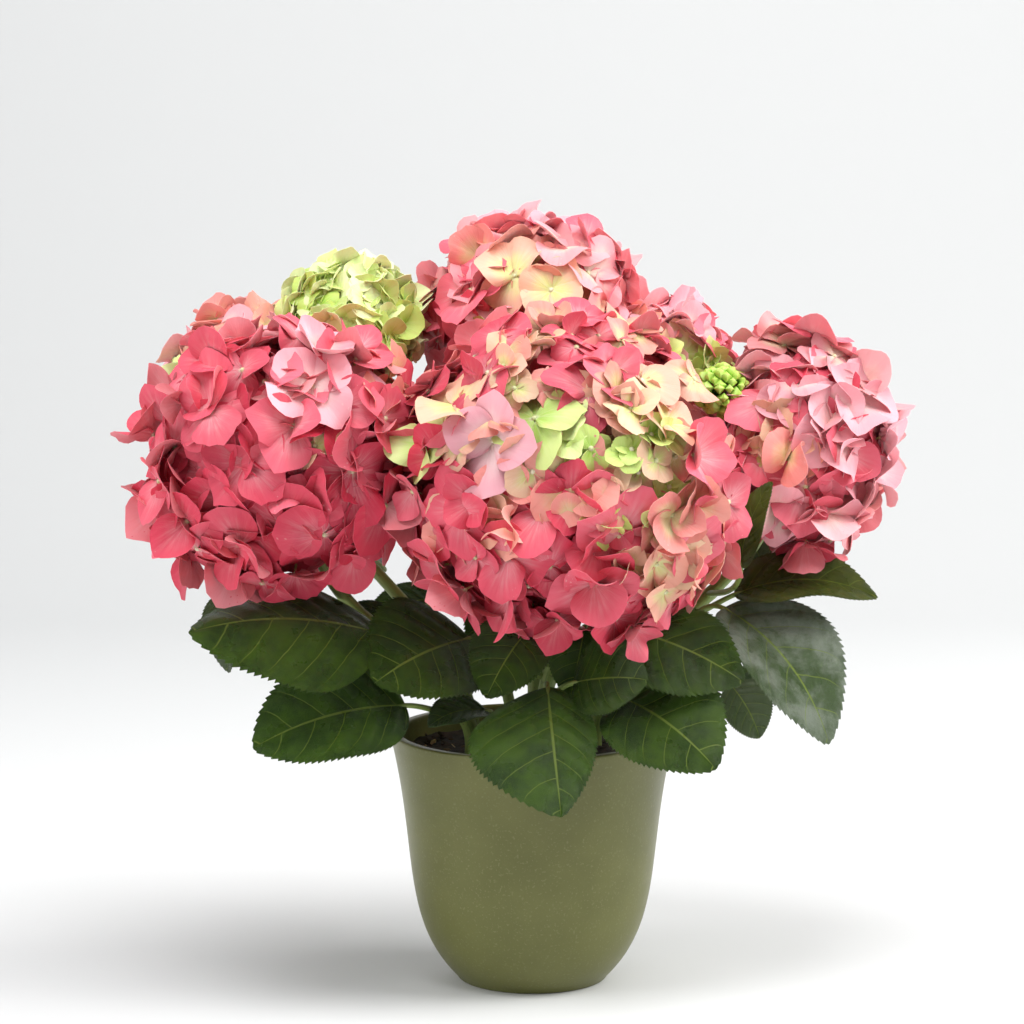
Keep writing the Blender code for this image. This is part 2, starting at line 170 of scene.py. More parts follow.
# Florets
SEPAL_LENGTHS = (0.84, 1.06)  # over the usual length
OVERLAP = 0.03  # how much shorter the two upper sepals are than usual, and how much longer the lower ones
UPPER_RISE = 0.0006  # of the upper sepals over the lower ones
UPPER_LIFT = 0.10
OPENNESS = (0.16, 0.18)  # mean and spread of the angle at which sepals leave their floret
OPENNESS_LIMITS = (-0.1, 0.7)
CURLS = (-0.1, 0.75)
CUPS = (-0.35, 0.35)
FOLDED_SHARE = 0.12  # of all sepals stand up
FOLDED_LIFTS = (0.4, 1.0)
EYE_HEIGHTS = (-0.0004, 0.0002, 0.0010, 0.0017, 0.0020)
EYE_RADII = (0.0009, 0.0015, 0.0016, 0.0011, 0.0004)
EYE_SIDES = 8
THREAD_RADII = (0.0011, 0.0007)  # of a floret's stalk, from the stem to the floret
THREAD_STEPS = 8
THREAD_SIDES = 6

# Heads
CLUSTER = 18  # florets that share one mesh and one bake map
LOWEST_FLORET = -0.86  # how far round towards a head's underside its florets go, as a cosine
PRESSED = 0.52  # florets pressed nearer to the head's centre than this by a neighbour are left out
PUSH = 0.45  # how far florets push past a side that a neighbour presses in, as a share of the dent
SHOWY_SINK = 0.32  # how deep florets sit in their head, as shares of a sepal's length
SINKS = (0.25, 0.65)
FLORET_SIZES = (0.80, 1.10)  # over the head's usual size
ELBOW_ROOM = 0.9  # florets nearer to a showy one than this many sepals sit deeper
INNER_LAYER = 0.72  # radius of the layer that closes a head, as a share of the head's
HUB = 0.55  # how far below a head's centre its stalks fork, as a share of its radius

# Buds
BUD_COUNT = 110
BUD_SIZES = (0.13, 0.21)  # over the cluster's radius
BUD_DEPTHS = (0.78, 0.98)
BUD_STEPS = 8
BUD_SIDES = 12
BUD_LOBES = 0.22


@dataclass
class Flower:
    """A head and its stem, as in the frame: all lengths but the stem's radius are in rim radii."""

    name: str
    head: str
    root: tuple
    centre: tuple
    radii: tuple
    facing: tuple
    bend: float
    stem_radius: float
    fullness: float = 2


@dataclass
class Bloom:
    """How a head's florets look."""

    finish: str
    florets: int  # over a whole sphere
    size: float  # length of a sepal
    rest: tuple  # colours outside the zones
    zones: tuple = ()  # (direction, spread in degrees, colours, None where no floret grows)
    showy: tuple = ()  # (direction, size over the usual size, colour) of florets that stand in front


@dataclass
class Leaf:
    """A leaf, as in the frame: base and tip are the ends of the blade's midrib, in rim radii."""

    name: str
    flower: str
    joint: float
    base: tuple
    tip: tuple
    face: tuple
    aspect: float = 0.64
    arch: float = 0.14
    fold: float = 12
    lean: float = 0.5
    tone: str = "green"


# The two colours of a sepal: towards its base, and towards its edge
SEPAL_COLOURS = {
    "rose": ((0.74, 0.105, 0.16), (0.66, 0.038, 0.082)),
    "pink": ((0.92, 0.31, 0.35), (0.88, 0.155, 0.215)),
    "light": ((0.95, 0.60, 0.62), (0.94, 0.42, 0.49)),
    "blush": ((0.84, 0.72, 0.36), (0.88, 0.27, 0.25)),
    "cream": ((0.66, 0.72, 0.20), (0.86, 0.56, 0.36)),
    "ivory": ((0.72, 0.86, 0.30), (0.86, 0.90, 0.50)),
    "lime": ((0.36, 0.62, 0.03), (0.60, 0.76, 0.16)),
}
RELATED = {"rose": "pink", "pink": "rose", "light": "blush", "blush": "cream", "cream": "blush",
           "ivory": "lime", "lime": "ivory"}
SMALLER = {"lime": 0.66, "cream": 0.80, "ivory": 0.80, "blush": 0.92}
CROWDED = ("lime", "cream", "ivory")  # colours whose small florets stand two by two

FLOWERS = [
    Flower("left", "flower_head_left", (-0.42, -0.16), (-1.70, -0.42, 1.98), (1.05, 0.82, 0.98),
           (-0.30, -0.15, 0.94), 0.60, 0.0046, 2.5),
    Flower("front", "flower_head_front", (0.04, -0.36), (0.25, -0.67, 1.87), (1.26, 1.00, 1.20),
           (0.04, -0.35, 0.93), 0.50, 0.0050, 2.2),
    Flower("right", "flower_head_right", (0.44, 0.02), (1.83, 0.20, 2.00), (0.74, 0.66, 0.92),
           (0.26, -0.30, 0.92), 0.60, 0.0042),
    Flower("top", "flower_head_top", (0.02, 0.36), (0.02, 0.85, 2.80), (0.86, 0.80, 0.82),
           (0.02, 0.22, 0.97), 0.60, 0.0044),
    Flower("back_left", "flower_head_back_left", (-0.42, 0.26), (-1.98, 0.74, 2.30), (0.70, 0.66, 0.70),
           (-0.40, 0.25, 0.88), 0.50, 0.0040),
    Flower("back_right", "flower_head_back_right", (0.32, 0.34), (0.95, 0.72, 2.48), (0.50, 0.50, 0.54),
           (0.20, 0.15, 0.97), 0.50, 0.0036),
    Flower("young", "flower_head_young", (-0.14, 0.10), (-1.30, 0.56, 2.82), (0.52, 0.48, 0.48),
           (-0.20, 0.15, 0.95), 0.50, 0.0034),
    Flower("bud", "bud_cluster", (0.36, 0.18), (1.32, -0.02, 2.42), (0.20, 0.20, 0.20),
           (0.30, -0.55, 0.75), 0.40, 0.0030),
]

BLOOMS = {
    "left": Bloom(
        "pink_sepal", 140, 0.0250, ("rose", "rose", "rose", "pink"),
        zones=(((0.2, -0.3, 1.0), 42, ("pink", "pink", "light")), ((0.5, -0.9, 0.1), 12, ("cream",)),
               ((1.0, -0.5, 0.5), 28, ("pink", "blush")), ((0.1, 0.6, 0.8), 40, ("pink", "light"))),
        showy=(((-0.35, -0.75, -0.62), 1.22, "pink"), ((0.35, -0.80, -0.52), 1.22, "rose"),
               ((0.62, -0.85, 0.02), 1.24, "rose"), ((-0.30, -0.90, 0.10), 1.10, "rose"),
               ((0.25, -0.70, 0.72), 1.15, "light"), ((-0.55, -0.70, 0.48), 1.10, "pink"),
               ((-0.92, -0.40, -0.10), 1.10, "rose"), ((0.10, -0.80, 0.38), 1.10, "pink"),
               ((-0.72, -0.60, -0.38), 1.08, "rose"), ((0.02, -0.85, -0.42), 1.05, "rose"),
               ((0.66, -0.55, -0.80), 1.15, "rose"), ((0.85, -0.60, -0.30), 1.15, "rose"),
               ((0.80, -0.55, 0.40), 1.05, "pink"))),
    "front": Bloom(
        "pink_sepal", 250, 0.0222, ("pink", "rose", "rose", "blush"),
        zones=(((0.90, 0.00, 0.48), 29, (None,)),
               ((0.48, -0.80, 0.42), 26, ("lime", "cream", "lime", "blush")),
               ((0.42, -0.90, 0.00), 18, ("lime", "cream", "blush")),
               ((-0.42, -0.85, 0.30), 30, ("cream", "blush", "ivory")),
               ((-0.10, -0.70, 0.72), 24, ("cream", "blush", "ivory")),
               ((-0.38, -0.90, -0.25), 13, ("cream", "blush")),
               ((0.62, -0.70, -0.45), 18, ("cream", "blush", "rose")),
               ((0.40, -0.50, 0.85), 34, ("blush", "blush", "pink")),
               ((0.90, -0.45, 0.15), 32, ("blush", "pink", "blush")),
               ((0.00, 0.50, 0.90), 50, ("blush", "pink")),
               ((-0.10, -0.60, -0.80), 42, ("rose", "rose", "pink"))),
        showy=(((0.10, -0.65, 0.66), 1.34, "pink"), ((-0.78, -0.55, 0.60), 1.28, "blush"),
               ((-0.55, -0.80, 0.40), 1.34, "light"), ((-0.24, -0.78, 0.52), 1.28, "ivory"),
               ((-0.95, -0.42, 0.30), 1.00, "ivory"), ((0.00, -0.98, 0.17), 1.30, "blush"),
               ((-0.22, -0.95, -0.10), 1.24, "rose"), ((0.34, -0.90, -0.28), 1.26, "pink"),
               ((-0.76, -0.72, -0.10), 1.22, "rose"), ((-0.44, -0.85, -0.42), 1.12, "pink"),
               ((0.16, -0.80, -0.60), 1.26, "pink"), ((-0.46, -0.68, -0.78), 1.30, "pink"),
               ((0.80, -0.60, 0.25), 1.12, "pink"), ((0.66, -0.75, -0.12), 1.05, "blush"),
               ((0.48, -0.60, 0.78), 1.10, "blush"), ((-0.15, -0.90, -0.48), 1.05, "rose"),
               ((-0.88, -0.45, -0.25), 1.15, "rose"), ((-0.74, -0.50, -0.70), 1.20, "rose"),
               ((-0.88, -0.42, -0.52), 1.25, "rose"))),
    "right": Bloom(
        "pink_sepal", 115, 0.0240, ("light", "light", "light", "pink"),
        zones=(((-0.35, -0.90, 0.15), 32, ("blush", "cream", "pink")),
               ((0.2, -0.8, -0.5), 40, ("light", "pink")), ((-0.6, -0.4, 0.7), 30, ("light",))),
        showy=(((-0.32, -0.75, 0.65), 1.25, "pink"), ((0.45, -0.75, 0.25), 1.20, "light"),
               ((0.35, -0.70, -0.70), 1.25, "light"), ((-0.10, -0.92, 0.00), 1.10, "blush"),
               ((0.70, -0.50, 0.60), 1.15, "light"), ((0.10, -0.85, -0.35), 1.15, "pink"),
               ((-0.20, -0.75, -0.62), 1.10, "light"))),
    "top": Bloom(
        "pink_sepal", 108, 0.0245, ("pink", "light", "light"),
        zones=(((0.05, -0.95, 0.22), 30, ("cream", "blush", "lime")),
               ((-0.75, -0.60, 0.00), 34, ("rose", "rose", "pink")),
               ((-0.30, -0.60, 0.80), 36, ("light", "blush")), ((0.15, -0.6, 0.8), 24, ("cream", "light"))),
        showy=(((0.75, -0.65, 0.10), 1.25, "light"), ((-0.20, -0.80, 0.55), 1.00, "blush"),
               ((0.15, -0.85, 0.40), 0.85, "cream"), ((0.55, -0.65, 0.60), 1.15, "light"),
               ((-0.65, -0.65, 0.40), 1.10, "pink"), ((0.30, -0.50, 0.85), 1.05, "light"))),
    "back_left": Bloom(
        "cream_sepal", 90, 0.0215, ("blush", "light", "blush"),
        zones=(((0.6, -0.5, 0.5), 34, ("cream", "lime", "blush")),
               ((-0.8, -0.3, -0.1), 34, ("lime", "cream")))),
    "back_right": Bloom(
        "cream_sepal", 56, 0.0215, ("light", "pink"),
        zones=(((0.5, -0.8, 0.1), 45, ("lime", "cream", "lime")),
               ((-0.3, -0.7, 0.6), 40, ("light", "blush")))),
    "young": Bloom(
        "green_sepal", 66, 0.0220, ("ivory", "ivory", "lime"),
        zones=(((0.5, -0.6, -0.3), 55, ("lime",)),)),
}

# The two colours of a leaf's upper side, in patches: the lighter one is partly the leaf's own tone and
# partly painted sheen
LEAF_COLOURS = {
    "green": ((0.006, 0.034, 0.001), (0.062, 0.140, 0.004)),
    "olive": ((0.060, 0.086, 0.006), (0.150, 0.185, 0.022)),
    # a pale silvery green: painted reflection of the window light on the drooping leaf
    "painted_sheen": ((0.110, 0.170, 0.080), (0.520, 0.580, 0.500)),
    "pale": ((0.085, 0.130, 0.050), (0.140, 0.190, 0.090)),
}

LEAVES = [
    Leaf("leaf_upper_left", "left", 0.50, (-1.03, -0.66, 0.80), (-2.35, -0.91, 0.86), (0.05, -0.50, 0.86),
         0.86, 0.10, -18),
    Leaf("leaf_lower_left", "left", 0.20, (-0.88, -0.73, 0.32), (-1.91, -1.03, 0.08), (-0.10, -0.72, 0.69),
         0.84, 0.12),
    Leaf("leaf_far_left", "left", 0.60, (-1.95, 0.10, 1.04), (-2.14, -0.05, 0.42), (-0.80, -0.45, 0.40),
         1.00, tone="pale"),
    Leaf("leaf_mid_left", "front", 0.42, (-0.44, -0.46, 0.74), (-1.08, -0.98, 0.52), (-0.15, -0.82, 0.55),
         1.10, 0.12, 6),
    Leaf("leaf_front", "front", 0.20, (0.10, -0.86, 0.47), (0.19, -1.29, -0.34), (-0.02, -0.94, 0.34),
         0.96, 0.20, -8, 0.34),
    Leaf("leaf_front_side", "front", 0.30, (0.28, -0.84, 0.50), (0.78, -1.06, 0.56), (0.05, -0.84, 0.54),
         1.12, 0.12),
    Leaf("leaf_over_soil", "left", 0.13, (-0.32, -0.52, 0.24), (-0.72, -0.74, 0.17), (-0.20, -0.50, 0.84),
         0.75),
    Leaf("leaf_lower_right", "right", 0.18, (0.60, -0.74, 0.38), (1.24, -1.20, -0.03), (0.10, -0.80, 0.60),
         1.00),
    Leaf("leaf_mid_right", "right", 0.30, (0.56, -0.60, 0.84), (1.44, -0.94, 0.52), (0.12, -0.72, 0.68),
         0.80, 0.10, -8),
    # this leaf's pale tone is a painted reflection of the window light
    Leaf("leaf_right_drooping", "right", 0.44, (1.34, -0.16, 0.90), (2.06, -0.50, 0.00), (0.45, -0.60, 0.66),
         0.80, tone="painted_sheen"),
    Leaf("leaf_upper_right", "right", 0.50, (1.42, -0.06, 0.98), (2.43, 0.00, 0.95), (0.0, -0.44, 0.90),
         0.62, tone="olive"),
    Leaf("leaf_right_folded", "right", 0.58, (1.44, -0.46, 1.24), (1.64, -0.62, 1.86), (-0.55, -0.80, 0.20),
         0.40, tone="olive"),
    Leaf("leaf_centre_left", "front", 0.50, (-0.02, -0.62, 0.84), (-0.32, -0.98, 0.42), (-0.10, -0.85, 0.52),
         0.92),
    Leaf("leaf_centre_small", "front", 0.50, (0.36, -0.40, 0.80), (0.26, -0.56, 0.34), (0.05, -0.93, 0.36),
         0.92),
    Leaf("leaf_centre_right", "right", 0.26, (0.48, -0.30, 0.60), (1.05, -0.50, 0.34), (0.10, -0.80, 0.60),
         0.80),
    Leaf("leaf_small_right", "right", 0.30, (1.41, 0.24, 0.28), (1.62, 0.20, -0.10), (0.30, -0.85, 0.40),
         0.95, tone="pale"),
    Leaf("leaf_back_right_low", "back_right", 0.22, (1.42, 0.56, 0.24), (2.06, 0.66, -0.02),
         (0.10, -0.30, 0.94), 0.62),
    Leaf("leaf_back_right_high", "back_right", 0.66, (1.86, 0.98, 1.42), (1.58, 0.86, 1.06),
         (-0.10, -0.90, 0.40), 0.90, tone="pale"),
    Leaf("leaf_inner_left", "back_left", 0.34, (-0.90, 0.20, 0.74), (-1.50, 0.02, 0.42),
         (-0.20, -0.75, 0.62), 0.80),
    Leaf("leaf_inner_back", "back_left", 0.36, (-0.70, 0.72, 0.82), (-1.22, 0.68, 0.60), (0.05, -0.60, 0.80),
         0.66),
    Leaf("leaf_inner_centre", "top", 0.32, (-0.10, 0.20, 0.98), (-0.36, -0.16, 0.46), (0.00, -0.85, 0.50),
         0.80),
    Leaf("leaf_inner_right", "back_right", 0.34, (0.78, 0.64, 0.84), (1.14, 0.72, 0.40),
         (0.10, -0.85, 0.50), 0.80),
    Leaf("leaf_back_left_low", "back_left", 0.20, (-0.72, 0.66, 0.34), (-1.66, 1.20, 0.10),
         (-0.20, 0.30, 0.93), 0.66),
    Leaf("leaf_back_left_mid", "back_left", 0.56, (-1.10, 0.86, 1.02), (-1.96, 1.34, 0.86),
         (-0.10, 0.35, 0.93), 0.66),
    Leaf("leaf_back_low", "top", 0.16, (-0.06, 0.86, 0.36), (-0.30, 1.80, 0.02), (0.00, 0.45, 0.89),
         0.70),
    Leaf("leaf_back_mid", "top", 0.36, (0.10, 0.92, 1.06), (0.34, 1.88, 0.82), (0.00, 0.40, 0.92),
         0.66),
    Leaf("leaf_back_right_mid", "back_right", 0.44, (0.86, 0.92, 1.06), (1.68, 1.48, 0.90),
         (0.10, 0.35, 0.93), 0.66),
    Leaf("leaf_back_right_lower", "back_right", 0.16, (0.72, 0.84, 0.34), (1.30, 1.52, 0.02),
         (0.15, 0.35, 0.92), 0.70),
    Leaf("leaf_back_high_left", "top", 0.62, (-0.42, 1.04, 1.72), (-1.12, 1.56, 1.50),
         (-0.10, 0.45, 0.89), 0.64),
    Leaf("leaf_back_high_right", "top", 0.66, (0.38, 1.10, 1.70), (0.86, 1.76, 1.46),
         (0.10, 0.45, 0.89), 0.64),
]


def seeded(name):
    """A random generator that depends only on a piece's name."""
    return np.random.default_rng(zlib.crc32(name.encode()))


def planted(point):
    """A place given in rim radii about the centre of the rim's plane, in metres."""
    return Vector(point) * RIM_RADIUS + UP * POT_HEIGHT


# ---------------------------------------------------------------- camera, lights and floor


def add_light(name, place, size, power, colour):
    """A soft rectangular studio light, aimed at the plant."""
    lamp = bpy.data.lights.new(name, "AREA")
    lamp.shape = "RECTANGLE"
    lamp.size, lamp.size_y = size
    lamp.energy = power
    lamp.color = colour
    light = bpy.data.objects.new(name, lamp)
    light.location = place
    light.rotation_euler = (Vector(LIT_POINT) - Vector(place)).to_track_quat("-Z", "Y").to_euler()
    bpy.context.scene.collection.objects.link(light)


def make_studio():
    """The camera, the lights and the floor."""
    scene = bpy.context.scene
    scene.view_settings.view_transform = "Standard"
    lens = bpy.data.cameras.new("camera")
    lens.sensor_width = SENSOR_WIDTH
    lens.lens = LENS
    camera = bpy.data.objects.new("camera", lens)
    camera.location = CAMERA_PLACE
    camera.rotation_euler = (math.pi / 2 - CAMERA_DIP, 0, 0)
    scene.collection.objects.link(camera)
    scene.camera = camera

    world = bpy.data.worlds.new("studio")
    world.use_nodes = True
    background = world.node_tree.nodes["Background"]
    background.inputs["Color"].default_value = (1, 1, 1, 1)
    background.inputs["Strength"].default_value = WORLD_LIGHT
    scene.world = world
    for light in LIGHTS:
        add_light(*light)
    make_floor()


def make_floor():
    """A pale floor that runs up into a backdrop."""
    profile = [(FLOOR_FRONT, 0.0), (FLOOR_BACK, 0.0)]
    for angle in np.linspace(0.1, math.pi / 2, 12):
        profile.append((FLOOR_BACK + BACKDROP_BEND * math.sin(angle), BACKDROP_BEND * (1 - math.cos(angle))))
    profile.append((FLOOR_BACK + BACKDROP_BEND, BACKDROP_HEIGHT))
    points = [(x, y, z) for y, z in profile for x in (-FLOOR_HALF_WIDTH, FLOOR_HALF_WIDTH)]
    faces = [(2 * i, 2 * i + 1, 2 * i + 3, 2 * i + 2) for i in range(len(profile) - 1)]
    mesh = bpy.data.meshes.new("floor")
    mesh.from_pydata(points, [], faces)
    mesh.shade_smooth()
    floor = bpy.data.objects.new("floor", mesh)
    bpy.context.scene.collection.objects.link(floor)
    paint = bpy.data.materials.new("floor")
    paint.use_nodes = True
    shader = paint.node_tree.nodes["Principled BSDF"]
    shader.inputs["Base Color"].default_value = FLOOR_COLOUR
    shader.inputs["Roughness"].default_value = 0.6
    mesh.materials.append(paint)


# ---------------------------------------------------------------- meshes


class Patchwork:
    """Gathers closed rings of points, such as sepals, blades and tubes, into one mesh.

    Each part is an array of rows of ring points. It gets its own cell of the bake map, and every
    point keeps three values for the material: its place (across, along, side) and two colours.
    """

    def __init__(self):
        self.points, self.faces, self.maps = [], [], []
        self.places, self.inner, self.outer = [], [], []
        self.count = 0

    def add(self, rings, place, inner=(0, 0, 0), outer=(0, 0, 0)):
        rows, around = rings.shape[:2]
        index = np.arange(rows * around).reshape(rows, around) + self.count
        onward = np.roll(index, -1, axis=1)
        quads = np.stack([index[:-1], onward[:-1], onward[1:], index[1:]], axis=2).reshape(-1, 4)
        half = around // 2
        near, far = np.arange(half - 1), around - 1 - np.arange(half - 1)
        first = np.stack([index[0, far], index[0, far - 1], index[0, near + 1], index[0, near]], axis=1)
        last = np.stack([index[-1, near], index[-1, near + 1], index[-1, far - 1], index[-1, far]], axis=1)
        self.faces += [quads, first, last]

        u, v = np.meshgrid(np.arange(around) / around, np.linspace(0, 1, rows))
        ahead = u + 1 / around
        corners = [(u[:-1], v[:-1]), (ahead[:-1], v[:-1]), (ahead[1:], v[1:]), (u[1:], v[1:])]
        quad_map = np.stack([np.stack(c, axis=2) for c in corners], axis=2).reshape(-1, 2)
        low = np.stack([u[0, far], u[0, far - 1], u[0, near + 1], u[0, near]], axis=1).reshape(-1)
        high = np.stack([u[0, near], u[0, near + 1], u[0, far - 1], u[0, far]], axis=1).reshape(-1)
        caps = [np.stack([low, np.zeros_like(low)], axis=1), np.stack([high, np.ones_like(high)], axis=1)]
        self.maps.append(np.concatenate([quad_map, *caps]))

        self.points.append(rings.reshape(-1, 3))
        self.places.append(np.broadcast_to(place, (rows, around, 3)).reshape(-1, 3))
        for kept, colour in ((self.inner, inner), (self.outer, outer)):
            kept.append(np.tile((*colour, 1), (rows * around, 1)))
        self.count += rows * around

    def build(self, name, finish, *nodes):
        """The finished piece: it rides on the plant's body and stands for the given CAD nodes."""
        slot, material = FINISHES[finish]
        mesh = bpy.data.meshes.new(name)
        mesh.from_pydata(np.concatenate(self.points).tolist(), [], np.concatenate(self.faces).tolist())
        side = math.ceil(math.sqrt(len(self.maps)))
        cells = [
            (np.array((i % side, i // side)) + MAP_MARGIN + (1 - 2 * MAP_MARGIN) * part) / side
            for i, part in enumerate(self.maps)
        ]
        mesh.uv_layers.new(name="OFBake").data.foreach_set("uv", np.concatenate(cells).ravel())
        self.keep(mesh, "place", "FLOAT_VECTOR", "vector", self.places)
        self.keep(mesh, "inner", "FLOAT_COLOR", "color", self.inner)
        self.keep(mesh, "outer", "FLOAT_COLOR", "color", self.outer)
        mesh.shade_smooth()
        mesh.set_sharp_from_angle(angle=SHARP)
        piece = bpy.data.objects.new(name, mesh)
        bpy.context.scene.collection.objects.link(piece)
        mesh.materials.append(material)
        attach(piece, BODY)
        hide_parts(*nodes)

    @staticmethod
    def keep(mesh, key, kind, field, values):
        """Store one value for each point, for the materials to read."""
        flat = np.concatenate(values).astype(np.float32).ravel()
        mesh.attributes.new(key, kind, "POINT").data.foreach_set(field, flat)


def slab(sheet, thickness):
    """Rings round a sheet of points, from left to right over its top and back under it."""
    along = np.gradient(sheet, axis=0)
    across = np.gradient(sheet, axis=1)
    normal = np.cross(across, along)
    normal /= np.linalg.norm(normal, axis=2, keepdims=True) + 1e-12
    skin = normal * thickness / 2
    return np.concatenate([sheet + skin, (sheet - skin)[:, ::-1]], axis=1)


def slab_place(across, along):
    """The place values of a slab's points: across from -1 to 1, along from 0 to 1, side 0 on top."""
    top = np.stack([across, along, np.zeros_like(along)], axis=2)
    under = np.stack([across, along, np.ones_like(along)], axis=2)[:, ::-1]
    return np.concatenate([top, under], axis=1)


def tube(path, radii, sides):
    """Rings along a path."""
    path = np.array(path, float)
    radii = np.broadcast_to(radii, len(path))
    forward = np.gradient(path, axis=0)
    forward /= np.linalg.norm(forward, axis=1, keepdims=True)
    hint = np.array((1.0, 0, 0)) if abs(forward[:, 0]).max() < 0.9 else np.array((0, 1.0, 0))
    side = hint - forward * (forward @ hint)[:, None]
    side /= np.linalg.norm(side, axis=1, keepdims=True)
    other = np.cross(side, forward)
    angles = -math.tau * np.arange(sides) / sides
    turn = side[:, None] * np.cos(angles)[None, :, None] + other[:, None] * np.sin(angles)[None, :, None]
    return path[:, None] + turn * radii[:, None, None]


def tube_place(rows, sides):
    """The place values of a tube's points."""
    across, along = np.meshgrid(np.arange(sides) / sides, np.linspace(0, 1, rows))
    return np.stack([across, along, np.zeros_like(along)], axis=2)


# ---------------------------------------------------------------- materials


class Nodes:
    """Short ways to wire a material's nodes."""

    def __init__(self, name, roughness, **sockets):
        self.material = bpy.data.materials.new(name)
        self.material.use_nodes = True
        self.tree = self.material.node_tree
        self.shader = self.tree.nodes["Principled BSDF"]
        self.shader.inputs["Roughness"].default_value = roughness
        for socket, value in sockets.items():
            self.shader.inputs[socket.replace("_", " ")].default_value = value

    def node(self, kind, **settings):
        made = self.tree.nodes.new(kind)
        for key, value in settings.items():
            setattr(made, key, value)
        return made

    def plug(self, socket, value):
        if isinstance(value, bpy.types.NodeSocket):
            self.tree.links.new(value, socket)
        else:
            socket.default_value = value

    def math(self, operation, *values):
        made = self.node("ShaderNodeMath", operation=operation)
        for socket, value in zip(made.inputs, values):
            self.plug(socket, value)
        return made.outputs[0]

    def mix(self, share, first, second, blend="MIX"):
        made = self.node("ShaderNodeMix", data_type="RGBA", blend_type=blend)
        self.plug(made.inputs["Factor"], share)
        for key, value in (("A", first), ("B", second)):
            socket = [s for s in made.inputs if s.name == key and s.type == "RGBA"][0]
            self.plug(socket, (*value, 1) if isinstance(value, tuple) else value)
        return [s for s in made.outputs if s.type == "RGBA"][0]

    def ramp(self, value, low, high):
        """A smooth step from 0 at low to 1 at high."""
        made = self.node("ShaderNodeMapRange", interpolation_type="SMOOTHSTEP")
        self.plug(made.inputs["Value"], value)
        made.inputs["From Min"].default_value = low
        made.inputs["From Max"].default_value = high
        return made.outputs["Result"]

    def place(self):
        """A point's place across and along its part, and the side that it is on."""
        split = self.node("ShaderNodeSeparateXYZ")
        self.tree.links.new(self.node("ShaderNodeAttribute", attribute_name="place").outputs["Vector"],
                            split.inputs[0])
        return split.outputs

    def colour_of(self, name):
        return self.node("ShaderNodeAttribute", attribute_name=name).outputs["Color"]

    def noise(self, scale, detail=3, roughness=0.5, vector=None):
        made = self.node("ShaderNodeTexNoise")
        made.inputs["Scale"].default_value = scale
        made.inputs["Detail"].default_value = detail
        made.inputs["Roughness"].default_value = roughness
        if vector is None:
            vector = self.node("ShaderNodeTexCoord").outputs["Object"]
        self.tree.links.new(vector, made.inputs["Vector"])
        return made.outputs["Fac"]

    def vector(self, x, y, z):
        made = self.node("ShaderNodeCombineXYZ")
        for socket, value in zip(made.inputs, (x, y, z)):
            self.plug(socket, value)
        return made.outputs[0]

    def finish(self, colour, roughness=None, bump=None, strength=0.5, distance=0.001):
        self.plug(self.shader.inputs["Base Color"], colour)
        if roughness is not None:
            self.plug(self.shader.inputs["Roughness"], roughness)
        if bump is not None:
            made = self.node("ShaderNodeBump")
            made.inputs["Strength"].default_value = strength
            made.inputs["Distance"].default_value = distance
            self.tree.links.new(bump, made.inputs["Height"])
            self.tree.links.new(made.outputs["Normal"], self.shader.inputs["Normal"])
        return self.material


def sepal_material():
    """Petal skin with fine veins that fan out from its base, where it is palest."""
    n = Nodes("sepal", 0.48, Subsurface_Weight=0.15, Subsurface_Radius=(0.004, 0.0014, 0.0014),
              Subsurface_Scale=1.0, Specular_IOR_Level=0.3)
    turn, reach, under = n.place()
    cloud = n.noise(70, 3)
    spread = n.math("ADD", reach, n.math("MULTIPLY", n.math("SUBTRACT", cloud, 0.5), 0.7))
    colour = n.mix(n.ramp(spread, 0.15, 0.80), n.colour_of("inner"), n.colour_of("outer"))
    fan = n.vector(n.math("MULTIPLY", turn, 16), n.math("MULTIPLY", reach, 1.2), n.noise(6))
    streaks = n.noise(1.0, 5, 0.65, fan)
    vein = n.math("MULTIPLY", n.ramp(streaks, 0.40, 0.66), n.ramp(reach, 1.1, 0.1))
    colour = n.mix(n.math("MULTIPLY", vein, 0.20), colour, (0.96, 0.80, 0.74))
    dark = n.ramp(streaks, 0.44, 0.30)
    colour = n.mix(n.math("MULTIPLY", dark, 0.4), colour, n.mix(1.0, colour, (0.84, 0.70, 0.70), "MULTIPLY"))
    heart = n.ramp(reach, 0.16, 0.04)
    colour = n.mix(n.math("MULTIPLY", heart, 0.6), colour, (0.84, 0.76, 0.56))
    colour = n.mix(n.math("MULTIPLY", under, 0.18), colour, (0.94, 0.84, 0.78))
    relief = n.math("ADD", n.math("MULTIPLY", streaks, 1.0), n.math("MULTIPLY", n.noise(700, 2), 0.12))
    return n.finish(colour, None, relief, 0.45, 0.0007)


